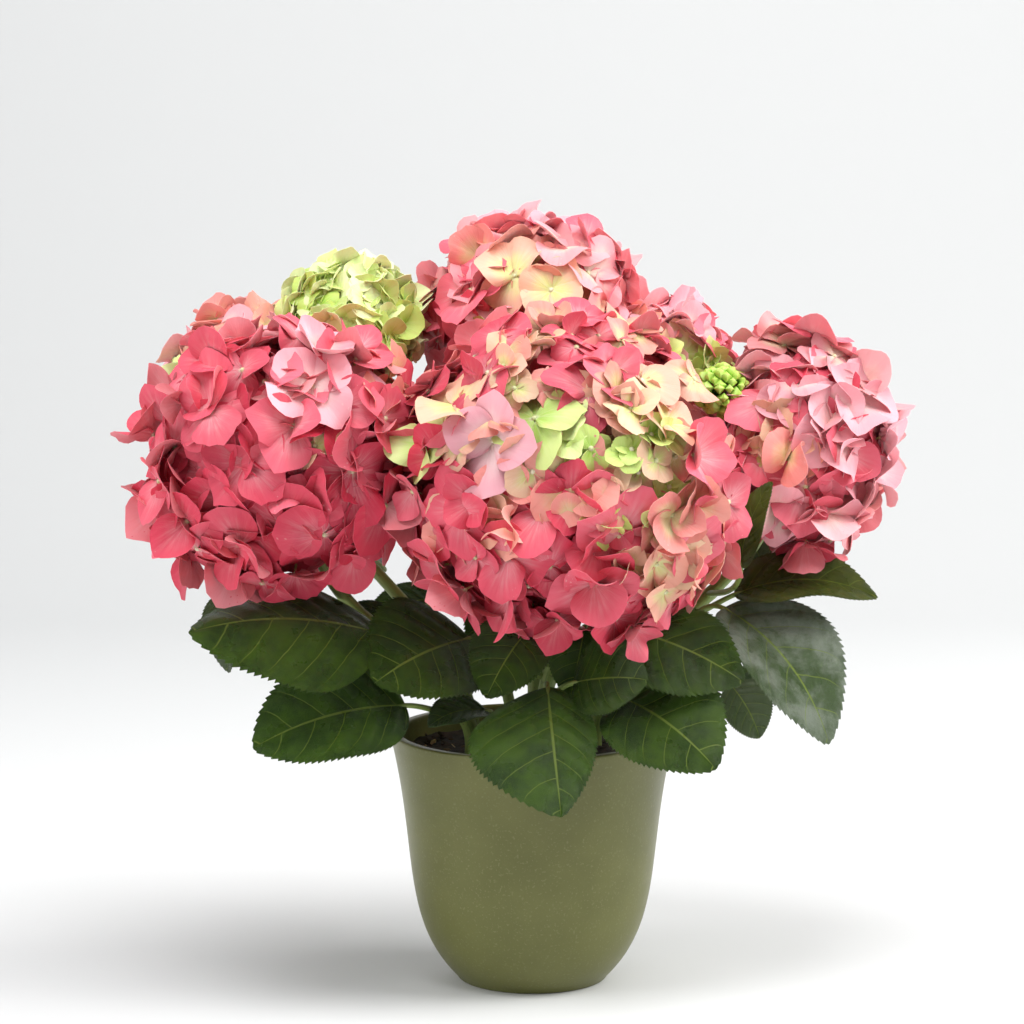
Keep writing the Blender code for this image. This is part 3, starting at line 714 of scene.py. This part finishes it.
def leaf_material():
    """Leaf skin: dark satin green with lighter patches that are partly painted sheen, quilted between pale
    veins, duller and paler underneath.
    """
    n = Nodes("leaf", 0.4, Specular_IOR_Level=0.5, Specular_Tint=(0.86, 1.0, 0.70, 1))
    across, along, under = n.place()
    off_middle = n.math("ABSOLUTE", across)
    rib = n.ramp(off_middle, 0.030, 0.010)
    phase = n.math("MULTIPLY", n.math("POWER", along, 1 / VEIN_CROWDING), SIDE_VEINS)
    phase = n.math("ADD", phase, n.math("MULTIPLY", n.math("SIGN", across), VEIN_OFFSET))
    wobble = n.math("MULTIPLY", n.math("SUBTRACT", n.noise(38, 3), 0.5), 0.34)
    far = n.math("ABSOLUTE", n.math("SUBTRACT", n.math("FRACT", n.math("ADD", phase, wobble)), 0.5))
    side_vein = n.math("MULTIPLY", n.ramp(far, 0.470, 0.492), n.ramp(off_middle, 1.0, 0.6))
    net = n.node("ShaderNodeTexVoronoi", feature="DISTANCE_TO_EDGE")
    net.inputs["Scale"].default_value = 190
    net_vein = n.ramp(net.outputs["Distance"], 0.13, 0.0)
    veins = n.math("MAXIMUM", rib, n.math("MULTIPLY", side_vein, 0.75))
    # lighter patches: partly the leaf's own uneven tone, partly painted sheen
    tone_and_sheen = n.ramp(n.noise(40, 6, 0.65), 0.36, 0.66)
    colour = n.mix(tone_and_sheen, n.colour_of("inner"), n.colour_of("outer"))
    colour = n.mix(n.math("MULTIPLY", net_vein, 0.45), colour, (0.14, 0.27, 0.04))
    colour = n.mix(n.math("MULTIPLY", veins, 0.85), colour, (0.34, 0.46, 0.08))
    colour = n.mix(n.math("MULTIPLY", under, 0.75), colour, (0.17, 0.24, 0.09))
    quilt = n.math("MULTIPLY", n.ramp(far, 0.5, 0.25), 0.7)
    relief = n.math("ADD", quilt, n.math("MULTIPLY", n.ramp(net.outputs["Distance"], 0.0, 0.35), 0.7))
    relief = n.math("ADD", relief, n.math("MULTIPLY", n.noise(60, 3), 2.4))
    relief = n.math("SUBTRACT", relief, n.math("MULTIPLY", veins, 0.5))
    gloss = n.math("ADD", 0.14, n.math("MULTIPLY", n.noise(60, 3), 0.30))
    gloss = n.math("ADD", gloss, n.math("MULTIPLY", under, 0.25))
    return n.finish(colour, gloss, relief, 1.0, 0.0018)


def stem_material():
    """Green bark with faint ribs and darker flecks."""
    n = Nodes("stem", 0.5)
    across, along, side = n.place()
    grain = n.noise(1.0, 4, 0.6, n.vector(n.math("MULTIPLY", across, 26), n.math("MULTIPLY", along, 6), 0.0))
    colour = n.mix(n.ramp(grain, 0.3, 0.7), (0.16, 0.25, 0.05), (0.27, 0.34, 0.09))
    colour = n.mix(n.math("MULTIPLY", n.ramp(n.noise(420, 2), 0.62, 0.7), 0.5), colour, (0.10, 0.07, 0.03))
    return n.finish(colour, None, grain, 0.3, 0.0006)


def stalk_material():
    """The thin stalks of the florets, green flushed with pink."""
    n = Nodes("floret_stalk", 0.5)
    colour = n.mix(n.ramp(n.noise(30, 2), 0.35, 0.65), (0.36, 0.42, 0.12), (0.55, 0.30, 0.20))
    return n.finish(colour)


def eye_material():
    """The small bead in the middle of a floret."""
    n = Nodes("eye", 0.45)
    colour = n.mix(n.ramp(n.noise(300, 2), 0.4, 0.6), (0.62, 0.66, 0.34), (0.80, 0.76, 0.55))
    return n.finish(colour)


def bud_material():
    """Unopened green buds, lighter at their tips."""
    n = Nodes("bud", 0.45, Subsurface_Weight=0.1, Subsurface_Radius=(0.002, 0.002, 0.001))
    across, along, side = n.place()
    colour = n.mix(n.ramp(along, 0.2, 0.9), (0.17, 0.44, 0.02), (0.50, 0.76, 0.12))
    colour = n.mix(n.math("MULTIPLY", n.ramp(n.noise(160, 2), 0.45, 0.65), 0.4), colour, (0.62, 0.74, 0.26))
    return n.finish(colour)


def pot_material():
    """Satin olive plastic with a fine fleck."""
    n = Nodes("pot", 0.34, Specular_IOR_Level=0.36)
    cloud = n.ramp(n.noise(14, 4, 0.6), 0.3, 0.7)
    colour = n.mix(cloud, (0.108, 0.112, 0.028), (0.134, 0.138, 0.038))
    fleck = n.ramp(n.noise(750, 2), 0.60, 0.68)
    colour = n.mix(n.math("MULTIPLY", fleck, 0.35), colour, (0.22, 0.22, 0.10))
    gloss = n.math("ADD", 0.30, n.math("MULTIPLY", n.noise(90, 3), 0.12))
    return n.finish(colour, gloss, n.noise(480, 2), 0.08, 0.0004)


def soil_material():
    """Damp crumbly peat."""
    n = Nodes("soil", 0.85)
    crumb = n.noise(210, 6, 0.7)
    colour = n.mix(n.ramp(crumb, 0.35, 0.7), (0.006, 0.004, 0.002), (0.045, 0.028, 0.016))
    return n.finish(colour, None, crumb, 0.9, 0.002)


def litter_material():
    """Bark chips and fibres on the soil, each in its own colour."""
    n = Nodes("litter", 0.8)
    streak = n.ramp(n.noise(300, 3), 0.3, 0.7)
    colour = n.mix(n.math("MULTIPLY", streak, 0.5), n.colour_of("inner"), n.colour_of("outer"))
    return n.finish(colour, None, n.noise(500, 3), 0.5, 0.001)


SEPAL = sepal_material()
FINISHES = {  # slot of the record, and material
    "pot": ("pot", pot_material()),
    "soil": ("soil", soil_material()),
    "litter": ("soil", litter_material()),
    "stem": ("stem", stem_material()),
    "floret_stalk": ("stem", stalk_material()),
    "leaf": ("leaf", leaf_material()),
    "pink_sepal": ("pink_sepals", SEPAL),
    "cream_sepal": ("cream_sepals", SEPAL),
    "green_sepal": ("green_sepals", SEPAL),
    "eye": ("cream_sepals", eye_material()),
    "bud": ("buds", bud_material()),
}


# ---------------------------------------------------------------- pot and soil


def pot_wall():
    """The pot's outer wall from the foot's bevel to the lip, as (radius, height)."""
    start = Vector((FOOT_RADIUS + FOOT_BEVEL, FOOT_BEVEL, 0))
    belly = Vector((BELLY_PULL[0] * RIM_RADIUS, BELLY_PULL[1] * POT_HEIGHT, 0))
    waist = Vector((WAIST_PULL[0] * RIM_RADIUS, WAIST_PULL[1] * POT_HEIGHT, 0))
    end = Vector((RIM_RADIUS, POT_HEIGHT - LIP_HEIGHT, 0))
    return [(p.x, p.y) for p in interpolate_bezier(start, belly, waist, end, WALL_STEPS)]


def rounded(corner, before, after, radius, steps=5):
    """Points of an arc that rounds a corner between two neighbours."""
    corner, before, after = (np.array(p, float) for p in (corner, before, after))
    start = corner + (before - corner) / np.linalg.norm(before - corner) * radius
    end = corner + (after - corner) / np.linalg.norm(after - corner) * radius
    shares = np.linspace(0, 1, steps)[:, None]
    return ((1 - shares) ** 2 * start + 2 * shares * (1 - shares) * corner + shares ** 2 * end).tolist()


def circle(radius, height, sides):
    """Points of a level ring round the pot's axis."""
    angles = math.tau * np.arange(sides) / sides
    return np.stack([radius * np.cos(angles), radius * np.sin(angles), np.full(sides, height)], axis=1)


def make_pot():
    """The pot's whole skin, with a rounded lip and foot."""
    wall = pot_wall()
    inner = [(radius - POT_WALL, height) for radius, height in wall if height > POT_HEIGHT * 0.08]
    lip_in = RIM_RADIUS - LIP_WIDTH
    crease = (RIM_RADIUS - LIP_EDGE * 0.5, POT_HEIGHT - LIP_HEIGHT)
    crease_level = (RIM_RADIUS, POT_HEIGHT - LIP_HEIGHT)
    ring_in = FOOT_RADIUS - FOOT_RING
    outline = [(MIDDLE, FOOT_RECESS), (ring_in - 0.002, FOOT_RECESS), (ring_in - 0.001, 0)]
    outline += rounded((FOOT_RADIUS + 0.0008, 0), (ring_in, 0), wall[0], FOOT_EDGE)
    outline += wall[:-1] + [crease]
    outline += rounded((RIM_RADIUS, POT_HEIGHT), crease_level, (0, POT_HEIGHT), LIP_EDGE)
    outline += rounded((lip_in, POT_HEIGHT), (RIM_RADIUS, POT_HEIGHT), (lip_in, 0), LIP_EDGE)
    outline += [(lip_in, POT_HEIGHT - LIP_HEIGHT), *reversed(inner[:-2])]
    outline += [(inner[0][0] - POT_FLOOR, POT_FLOOR), (MIDDLE, POT_FLOOR)]
    rings = np.array([circle(radius, height, POT_SEGMENTS) for radius, height in outline])
    pot = Patchwork()
    pot.add(rings, tube_place(len(outline), POT_SEGMENTS))
    pot.build("pot_skin", "pot", "pot")


def soil_at(x, y):
    """Height of the soil's crumbly surface."""
    radius = math.hypot(x, y) / SOIL_RADIUS
    rise = SOIL_CROWN * (1 - radius ** 2)
    lumps = (noise.fractal((x * LUMP_SCALE, y * LUMP_SCALE, 0.0), 0.9, 2.1, 5) - 0.5) * LUMP_HEIGHT
    return SOIL_EDGE + rise + lumps


def make_soil():
    """The soil's surface down to the pot's floor."""
    rows = [circle(FOOT_RADIUS * 0.9, SOIL_LOW.z, SOIL_SEGMENTS)]
    for i in range(SOIL_RINGS):
        ring = circle(SOIL_RADIUS * (1 - i / SOIL_RINGS), 0, SOIL_SEGMENTS)
        ring[:, 2] = [soil_at(x, y) for x, y, _ in ring]
        rows.append(ring)
    soil = Patchwork()
    soil.add(np.array(rows), tube_place(len(rows), SOIL_SEGMENTS))
    soil.build("soil_surface", "soil", "potting_soil")


def make_litter():
    """The bark and fibres that lie on the soil."""
    rng = seeded("litter")
    litter = Patchwork()
    steps = len(LITTER_TAPER)
    for _ in range(LITTER_COUNT):
        radius = SOIL_RADIUS * 0.96 * math.sqrt(rng.random())
        angle = rng.random() * math.tau
        x, y = radius * math.cos(angle), radius * math.sin(angle)
        length = rng.uniform(*LITTER_LENGTHS)
        width = length * rng.uniform(*LITTER_WIDTHS)
        heading = rng.random() * math.tau
        step = np.array((math.cos(heading), math.sin(heading), rng.uniform(-0.35, 0.35)))
        start = np.array((x, y, soil_at(x, y) + width * 0.3))
        path = start + step * length * np.linspace(0, 1, steps)[:, None]
        path[:, 2] += rng.normal(0, width * 0.2, steps)
        inner = LITTER_COLOURS[rng.choice(len(LITTER_COLOURS), p=LITTER_SHARES)]
        rings = tube(path, width * np.array(LITTER_TAPER), LITTER_SIDES)
        litter.add(rings, tube_place(steps, LITTER_SIDES), inner, tuple(c * 0.6 for c in inner))
    litter.build("soil_litter", "litter")


# ---------------------------------------------------------------- stems and leaves


def stem_path(flower):
    """Points up a stem from the soil's collar to the seat of its head."""
    x, y = (c * RIM_RADIUS for c in flower.root)
    collar = Vector((x, y, SOIL_EDGE + SOIL_CROWN + COLLAR))
    facing = Vector(flower.facing).normalized()
    seat = planted(flower.centre) - facing * SEAT_DEPTH * sum(flower.radii) / 3 * RIM_RADIUS
    end = seat - facing * GAP
    bend = end - facing * flower.bend * RIM_RADIUS
    rise = collar + UP * (end.z - collar.z) * STEM_RISE
    return collar, rise, bend, end


def stem_points(flower, steps):
    return interpolate_bezier(*stem_path(flower), steps)


def stem_radius_at(flower, share):
    return flower.stem_radius * (1 + (STEM_TAPER - 1) * share)


def make_stem(flower):
    """A round stem, swollen where leaves grow from it, that runs on into its head."""
    fine = (STEM_STEPS - 1) * STEM_FINE + 1
    path = stem_points(flower, fine)
    facing = Vector(flower.facing).normalized()
    mean = sum(flower.radii) / 3 * RIM_RADIUS
    shares = np.linspace(0, 1, fine)
    radii = stem_radius_at(flower, shares)
    for leaf in LEAVES:
        if leaf.flower == flower.name:
            away = (shares - leaf.joint * STEM_STEPS / (STEM_STEPS - 1)) / NODE_LENGTH
            radii = radii * (1 + NODE_SWELL * np.exp(-away ** 2))
    foot = Vector((path[0].x, path[0].y, SOIL_EDGE - STEM_SINK))
    path = [foot, *path, path[-1] + facing * mean * 0.2, path[-1] + facing * mean * 0.42]
    radii = [radii[0] * 1.05, *radii, radii[-1] * 0.95, radii[-1] * 0.7]
    stem = Patchwork()
    stem.add(tube(path, radii, STEM_SIDES), tube_place(len(path), STEM_SIDES))
    stem.build(f"stem_{flower.name}_bark", "stem", f"stem_{flower.name}")


def stalk_start(leaf, flower):
    """Where a leaf's stalk leaves its stem, and the direction in which it does."""
    path = stem_points(flower, STEM_STEPS)
    place = leaf.joint * STEM_STEPS
    index = min(int(place), len(path) - 2)
    on_axis = path[index].lerp(path[index + 1], place - index)
    along = (path[index + 1] - path[index]).normalized()
    outward = planted(leaf.base) - on_axis
    outward = (outward - along * outward.dot(along)).normalized()
    return on_axis + outward * (stem_radius_at(flower, leaf.joint) * STALK_ROOT), outward


def blade_width(share):
    """A blade's half width as a share of its largest, from its base at 0 to its tip at 1."""
    widest = BASE_FULLNESS / (BASE_FULLNESS + TIP_FULLNESS)
    peak = widest ** BASE_FULLNESS * (1 - widest) ** TIP_FULLNESS
    return share ** BASE_FULLNESS * (1 - share) ** TIP_FULLNESS / peak


def blade_rows():
    """Rows of a blade as places on its margin, and how far its teeth stand out there."""
    places, teeth = [0.004], [0.0]
    for tooth in range(TEETH):
        for step in TOOTH_STEPS:
            places.append((tooth + 0.5 + step) / (TEETH + 1))
            teeth.append(step)
    return np.array(places + [0.985, 0.999]), np.array(teeth + [0.0, 0.0])


def blade_points(leaf, rng):
    """A blade's sheet of points, with their places across and along it."""
    base, tip = (np.array(planted(p)) for p in (leaf.base, leaf.tip))
    face = np.array(Vector(leaf.face).normalized())
    length = np.linalg.norm(tip - base)
    peak = (base + tip) / 2 + face * 2 * leaf.arch * length
    margin, teeth = blade_rows()
    across = np.linspace(-1, 1, BLADE_COLUMNS + 1)[None, :]
    off = np.abs(across)
    along = (margin ** (1 / (1 - SWEEP)))[:, None] * np.ones_like(across)
    share = along ** (1 - SWEEP * off)

    s = share[..., None]
    centre = (1 - s) ** 2 * base + 2 * s * (1 - s) * peak + s ** 2 * tip
    forward = 2 * (1 - s) * (peak - base) + 2 * s * (tip - peak)
    forward /= np.linalg.norm(forward, axis=2, keepdims=True)
    normal = face - forward * (forward @ face)[..., None]
    normal /= np.linalg.norm(normal, axis=2, keepdims=True)
    side = np.cross(forward, normal)

    part = np.where(across > 0, 1 - leaf.lean, leaf.lean)
    width = blade_width(share) * leaf.aspect * length * part
    width *= 1 + TOOTH_DEPTH * (0.5 + share) * (teeth[:, None] - 0.5) * off ** 6
    out = across * width
    fold = math.radians(leaf.fold)
    crease = CREASE * length
    lift = np.sqrt(out ** 2 + crease ** 2) - crease
    phase = along ** (1 / VEIN_CROWDING) * SIDE_VEINS + VEIN_OFFSET * np.sign(across)
    quilt = np.sin(math.pi * phase) ** 2 * np.minimum(off * 4, 1) * (1 - off ** 4) * QUILTING * length
    waves = np.sin(share * rng.uniform(7, 11) + rng.uniform(0, 6) + np.sign(across)) * off ** 2
    rise = lift * math.sin(fold) + quilt + waves * WAVES * length * np.sin(math.pi * share)
    sheet = centre + side * (out * math.cos(fold))[..., None] + normal * rise[..., None]
    sheet += forward * (teeth[:, None] * off ** 8 * TOOTH_HOOK * length)[..., None]
    return sheet, np.broadcast_to(across, share.shape), along


def make_leaf(leaf):
    """A leaf: its toothed blade, its stalk, and the rib that the stalk runs on as underneath."""
    rng = seeded(leaf.name)
    flower = [f for f in FLOWERS if f.name == leaf.flower][0]
    start, outward = stalk_start(leaf, flower)
    base, tip = planted(leaf.base), planted(leaf.tip)
    face = Vector(leaf.face).normalized()
    chord = tip - base
    peak = base + chord * 0.5 + face * 2 * leaf.arch * chord.length
    span = (base - start).length
    leave = start + outward * span * STALK_LEAVE
    arrive = base - (peak - base).normalized() * span * STALK_ARRIVE
    stalk = interpolate_bezier(start, leave, arrive, base, STALK_STEPS)
    blade = interpolate_bezier(base, base.lerp(peak, 2 / 3), tip.lerp(peak, 2 / 3), tip, STALK_STEPS + 2)
    under = [point - face * STALK_RADIUS * 0.7 for point in blade[1:STALK_STEPS]]
    thickness = [*np.linspace(1.15, 0.8, STALK_STEPS), *np.linspace(0.72, 0.15, STALK_STEPS - 1)]

    shade = rng.uniform(0.8, 1.2)
    inner, outer = (tuple(c * shade for c in colour) for colour in LEAF_COLOURS[leaf.tone])
    rings = tube(stalk + under, STALK_RADIUS * np.array(thickness), STALK_SIDES)
    stem = Patchwork()
    stem.add(rings, tube_place(len(rings), STALK_SIDES))
    stem.build(f"{leaf.name}_stalk", "stem")
    sheet, across, along = blade_points(leaf, rng)
    skin = Patchwork()
    skin.add(slab(sheet, BLADE_THICKNESS), slab_place(across, along), inner, outer)
    skin.build(f"{leaf.name}_blade", "leaf", leaf.name)


# ---------------------------------------------------------------- flower heads


def sepal(rng, length, lift, curl, cup):
    """A sepal's sheet of points, a fan round its base: it points along Y, with its top up.

    It leaves its base at the angle lift and bends down by the angle curl on its way to its tip.
    """
    turn = np.linspace(-1, 1, SEPAL_COLUMNS)[None, :]
    reach = np.array(SEPAL_ROWS)[:, None]
    angle = turn * SEPAL_SPREAD
    rhombic = rng.uniform(*OUTLINES)
    half_width = rng.uniform(*HALF_WIDTHS) * length
    edge = 1 + rng.normal(0, rng.uniform(*RAGGED), SEPAL_COLUMNS)[None, :] * np.cos(angle / 2)
    tip = rng.uniform(*TIPS) * np.exp(-(angle / 0.35) ** 2)
    x = half_width * np.sign(turn) * np.abs(np.sin(angle)) ** rhombic * edge * reach
    y = length * (0.5 + 0.5 * np.sign(np.cos(angle)) * np.abs(np.cos(angle)) ** rhombic + tip) * edge * reach
    pleats = np.sin(turn * rng.uniform(5, 10) + rng.uniform(0, 6)) * reach ** 1.5 * rng.uniform(*PLEATS)
    waves = np.sin(turn * rng.uniform(4, 8) + rng.uniform(0, 6)) * reach ** 3 * rng.uniform(*RUFFLES)
    crease = np.exp(-(x / length / 0.09) ** 2) * np.sin(math.pi * reach * 0.9) * rng.uniform(*CREASES)
    off = length * (pleats + waves - crease) + cup * x ** 2 / length
    curl = math.copysign(max(abs(curl), LEAST_CURL), curl)
    bend = lift - curl * y / length
    down = length / curl
    sheet = np.stack([
        x,
        down * (math.sin(lift) - np.sin(bend)) - np.sin(bend) * off,
        down * (np.cos(bend) - math.cos(lift)) + np.cos(bend) * off,
    ], axis=2)
    return sheet, np.broadcast_to(turn, x.shape), np.broadcast_to(reach, x.shape)


def floret_colours(colour, rng):
    """The inner and outer colour of a floret, a little of the way to a related colour."""
    share = rng.beta(1.0, 2.2)
    own, other = (np.array(SEPAL_COLOURS[key]) for key in (colour, RELATED[colour]))
    return (own + (other - own) * share) * rng.uniform(0.86, 1.08)


def add_floret(petals, eyes, rng, place, outward, size, colour):
    """A floret of four overlapping sepals round a small bead."""
    base = floret_colours(colour, rng)
    turn = Vector(outward).to_track_quat("Z", "Y").to_matrix()
    turn = turn @ Matrix.Rotation(rng.random() * math.tau, 3, "Z")
    least, most = OPENNESS_LIMITS
    openness = min(max(rng.normal(*OPENNESS), least), most)
    curl = rng.uniform(*CURLS)
    cup = rng.uniform(*CUPS)
    for k in range(4):
        over = k % 2
        length = size * rng.uniform(*SEPAL_LENGTHS) * (1 - OVERLAP if over else 1 + OVERLAP)
        lift = openness + rng.normal(0, 0.10) + UPPER_LIFT * over
        if rng.random() < FOLDED_SHARE:
            lift += rng.uniform(*FOLDED_LIFTS)
        own_curl = curl + rng.normal(0, 0.2)
        own_cup = cup + rng.normal(0, 0.12)
        sheet, across, along = sepal(rng, length, lift, own_curl, own_cup)
        sheet[..., 2] += UPPER_RISE * over
        spin = Matrix.Rotation(math.tau * k / 4 + rng.normal(0, 0.10), 3, "Z")
        spin = spin @ Matrix.Rotation(rng.normal(0, 0.12), 3, "Y")
        points = sheet @ np.array(turn @ spin).T + np.array(place)
        inner, outer = np.clip(base * rng.uniform(0.93, 1.05), 0, 1)
        petals.add(slab(points, SEPAL_THICKNESS), slab_place(across, along), tuple(inner), tuple(outer))
    axis = np.array(place) + np.array(outward) * np.array(EYE_HEIGHTS)[:, None]
    eyes.add(tube(axis, EYE_RADII, EYE_SIDES), tube_place(len(EYE_RADII), EYE_SIDES))


def add_thread(stalks, hub, middle, place):
    """A floret's thin stalk, from the fork above its head's stem."""
    path = interpolate_bezier(hub, hub.lerp(middle, 0.6), middle.lerp(place, 0.5), place, THREAD_STEPS)
    radii = np.linspace(*THREAD_RADII, THREAD_STEPS)
    stalks.add(tube(path, radii, THREAD_SIDES), tube_place(THREAD_STEPS, THREAD_SIDES))


def zone_colour(bloom, direction, rng):
    """The colour of a floret that looks in a direction."""
    for heading, spread, colours in bloom.zones:
        if math.degrees(direction.angle(Vector(heading))) < spread * rng.uniform(0.6, 1.15):
            return colours[rng.integers(len(colours))]
    return bloom.rest[rng.integers(len(bloom.rest))]


def sphere_directions(count, lowest=-1):
    """Directions spread evenly from straight up down to the lowest height."""
    for i in range(count):
        height = 1 - 2 * (i + 0.5) / count
        if height < lowest:
            return
        flat = math.sqrt(1 - height ** 2)
        angle = GOLDEN_ANGLE * i
        yield Vector((flat * math.cos(angle), flat * math.sin(angle), height))


def head_directions(count, facing, lowest):
    """Directions spread evenly round a head, from the way it faces down to its underside."""
    turn = Vector(facing).to_track_quat("Z", "Y")
    return [turn @ direction for direction in sphere_directions(count, lowest)]


def full_radius(flower, direction):
    """A head's radius in a direction, before its neighbours press on it, in metres."""
    parts = [abs(d / r) ** flower.fullness for d, r in zip(direction, flower.radii)]
    return RIM_RADIUS / sum(parts) ** (1 / flower.fullness)


def surface(flower, dome, direction):
    """The place on a head in a direction, or none where a neighbour presses it in too far."""
    centre = planted(flower.centre)
    full = full_radius(flower, direction)
    pressed = (dome.ray_cast(centre, direction)[0] - centre).length
    if pressed < PRESSED * full:
        return None
    return centre + direction * (pressed + (full - pressed) * PUSH)


def shaken(direction, spread, rng):
    """A direction near another one."""
    return (direction + Vector(rng.normal(0, spread, 3))).normalized()


def floret_places(flower, dome, rng):
    """Where a head's florets stand: (place, outward, size, colour), showy ones first."""
    bloom = BLOOMS[flower.name]
    centre = planted(flower.centre)
    florets = []
    for heading, scale, colour in bloom.showy:
        direction = Vector(heading).normalized()
        hit = surface(flower, dome, direction)
        size = bloom.size * scale
        florets.append((hit - direction * size * SHOWY_SINK, shaken(direction, 0.10, rng), size, colour))
    for heading in head_directions(bloom.florets, flower.facing, LOWEST_FLORET):
        colour = zone_colour(bloom, heading, rng)
        for _ in range(2 if colour in CROWDED else 1):
            direction = shaken(heading, 0.07, rng)
            hit = surface(flower, dome, direction)
            if not (hit and colour):
                continue
            size = bloom.size * SMALLER.get(colour, 1) * rng.uniform(*FLORET_SIZES)
            place = hit - direction * size * rng.uniform(*SINKS)
            room = min(((place - other[0]).length for other in florets[:len(bloom.showy)]), default=1)
            if room < bloom.size * ELBOW_ROOM:
                place -= direction * (bloom.size - room) * 0.5
            florets.append((place, shaken(direction, 0.26, rng), size, colour))
    for direction in head_directions(bloom.florets // 2, flower.facing, -1):
        hit = surface(flower, dome, direction)
        colour = zone_colour(bloom, direction, rng)
        if hit and colour:
            place = centre.lerp(hit, INNER_LAYER)
            florets.append((place, shaken(direction, 0.30, rng), bloom.size * 0.9, colour))
    return florets


def make_head(flower):
    """A flower head: florets on its dome, each on a thin stalk from the top of the stem."""
    rng = seeded(flower.head)
    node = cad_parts[flower.head]
    corners = [corner.co for corner in node.data.vertices]
    dome = BVHTree.FromPolygons(corners, [face.vertices for face in node.data.polygons])
    centre = planted(flower.centre)
    facing = Vector(flower.facing).normalized()
    mean = sum(flower.radii) / 3 * RIM_RADIUS
    hub = centre - facing * mean * HUB
    florets = floret_places(flower, dome, rng)
    florets.sort(key=lambda f: math.atan2(f[0].y - centre.y, f[0].x - centre.x))

    stalks, eyes = Patchwork(), Patchwork()
    groups = math.ceil(len(florets) / CLUSTER)
    for group in range(groups):
        petals = Patchwork()
        for place, outward, size, colour in florets[group * CLUSTER:(group + 1) * CLUSTER]:
            add_floret(petals, eyes, rng, place, outward, size, colour)
            middle = hub.lerp(place, 0.55) + facing * mean * 0.10
            add_thread(stalks, hub, middle, place)
        petals.build(f"{flower.head}_petals_{group + 1}", BLOOMS[flower.name].finish, flower.head)
    stalks.build(f"{flower.head}_stalks", "floret_stalk")
    eyes.build(f"{flower.head}_eyes", "eye")


def make_buds(flower):
    """A rounded cluster of small four-lobed buds."""
    rng = seeded(flower.head)
    centre = planted(flower.centre)
    radius = flower.radii[0] * RIM_RADIUS
    heights = np.linspace(-0.4, 1.5, BUD_STEPS)
    swell = np.sin(np.linspace(0.25, 3.0, BUD_STEPS)) ** 0.7
    lobes = 1 + BUD_LOBES * np.cos(4 * math.tau * np.arange(BUD_SIDES) / BUD_SIDES)
    buds = Patchwork()
    for heading in sphere_directions(BUD_COUNT):
        outward = np.array(shaken(heading, 0.08, rng))
        size = radius * rng.uniform(*BUD_SIZES)
        start = np.array(centre) + outward * (radius * rng.uniform(*BUD_DEPTHS) - size)
        rings = tube(start + outward * size * heights[:, None], size * swell, BUD_SIDES)
        middle = rings.mean(axis=1, keepdims=True)
        buds.add(middle + (rings - middle) * lobes[None, :, None], tube_place(BUD_STEPS, BUD_SIDES))
    buds.build("bud_cluster_buds", "bud", flower.head)


def main():
    make_studio()
    make_pot()
    make_soil()
    make_litter()
    for flower in FLOWERS:
        make_stem(flower)
        if flower.name in BLOOMS:
            make_head(flower)
        else:
            make_buds(flower)
    for leaf in LEAVES:
        make_leaf(leaf)


main()
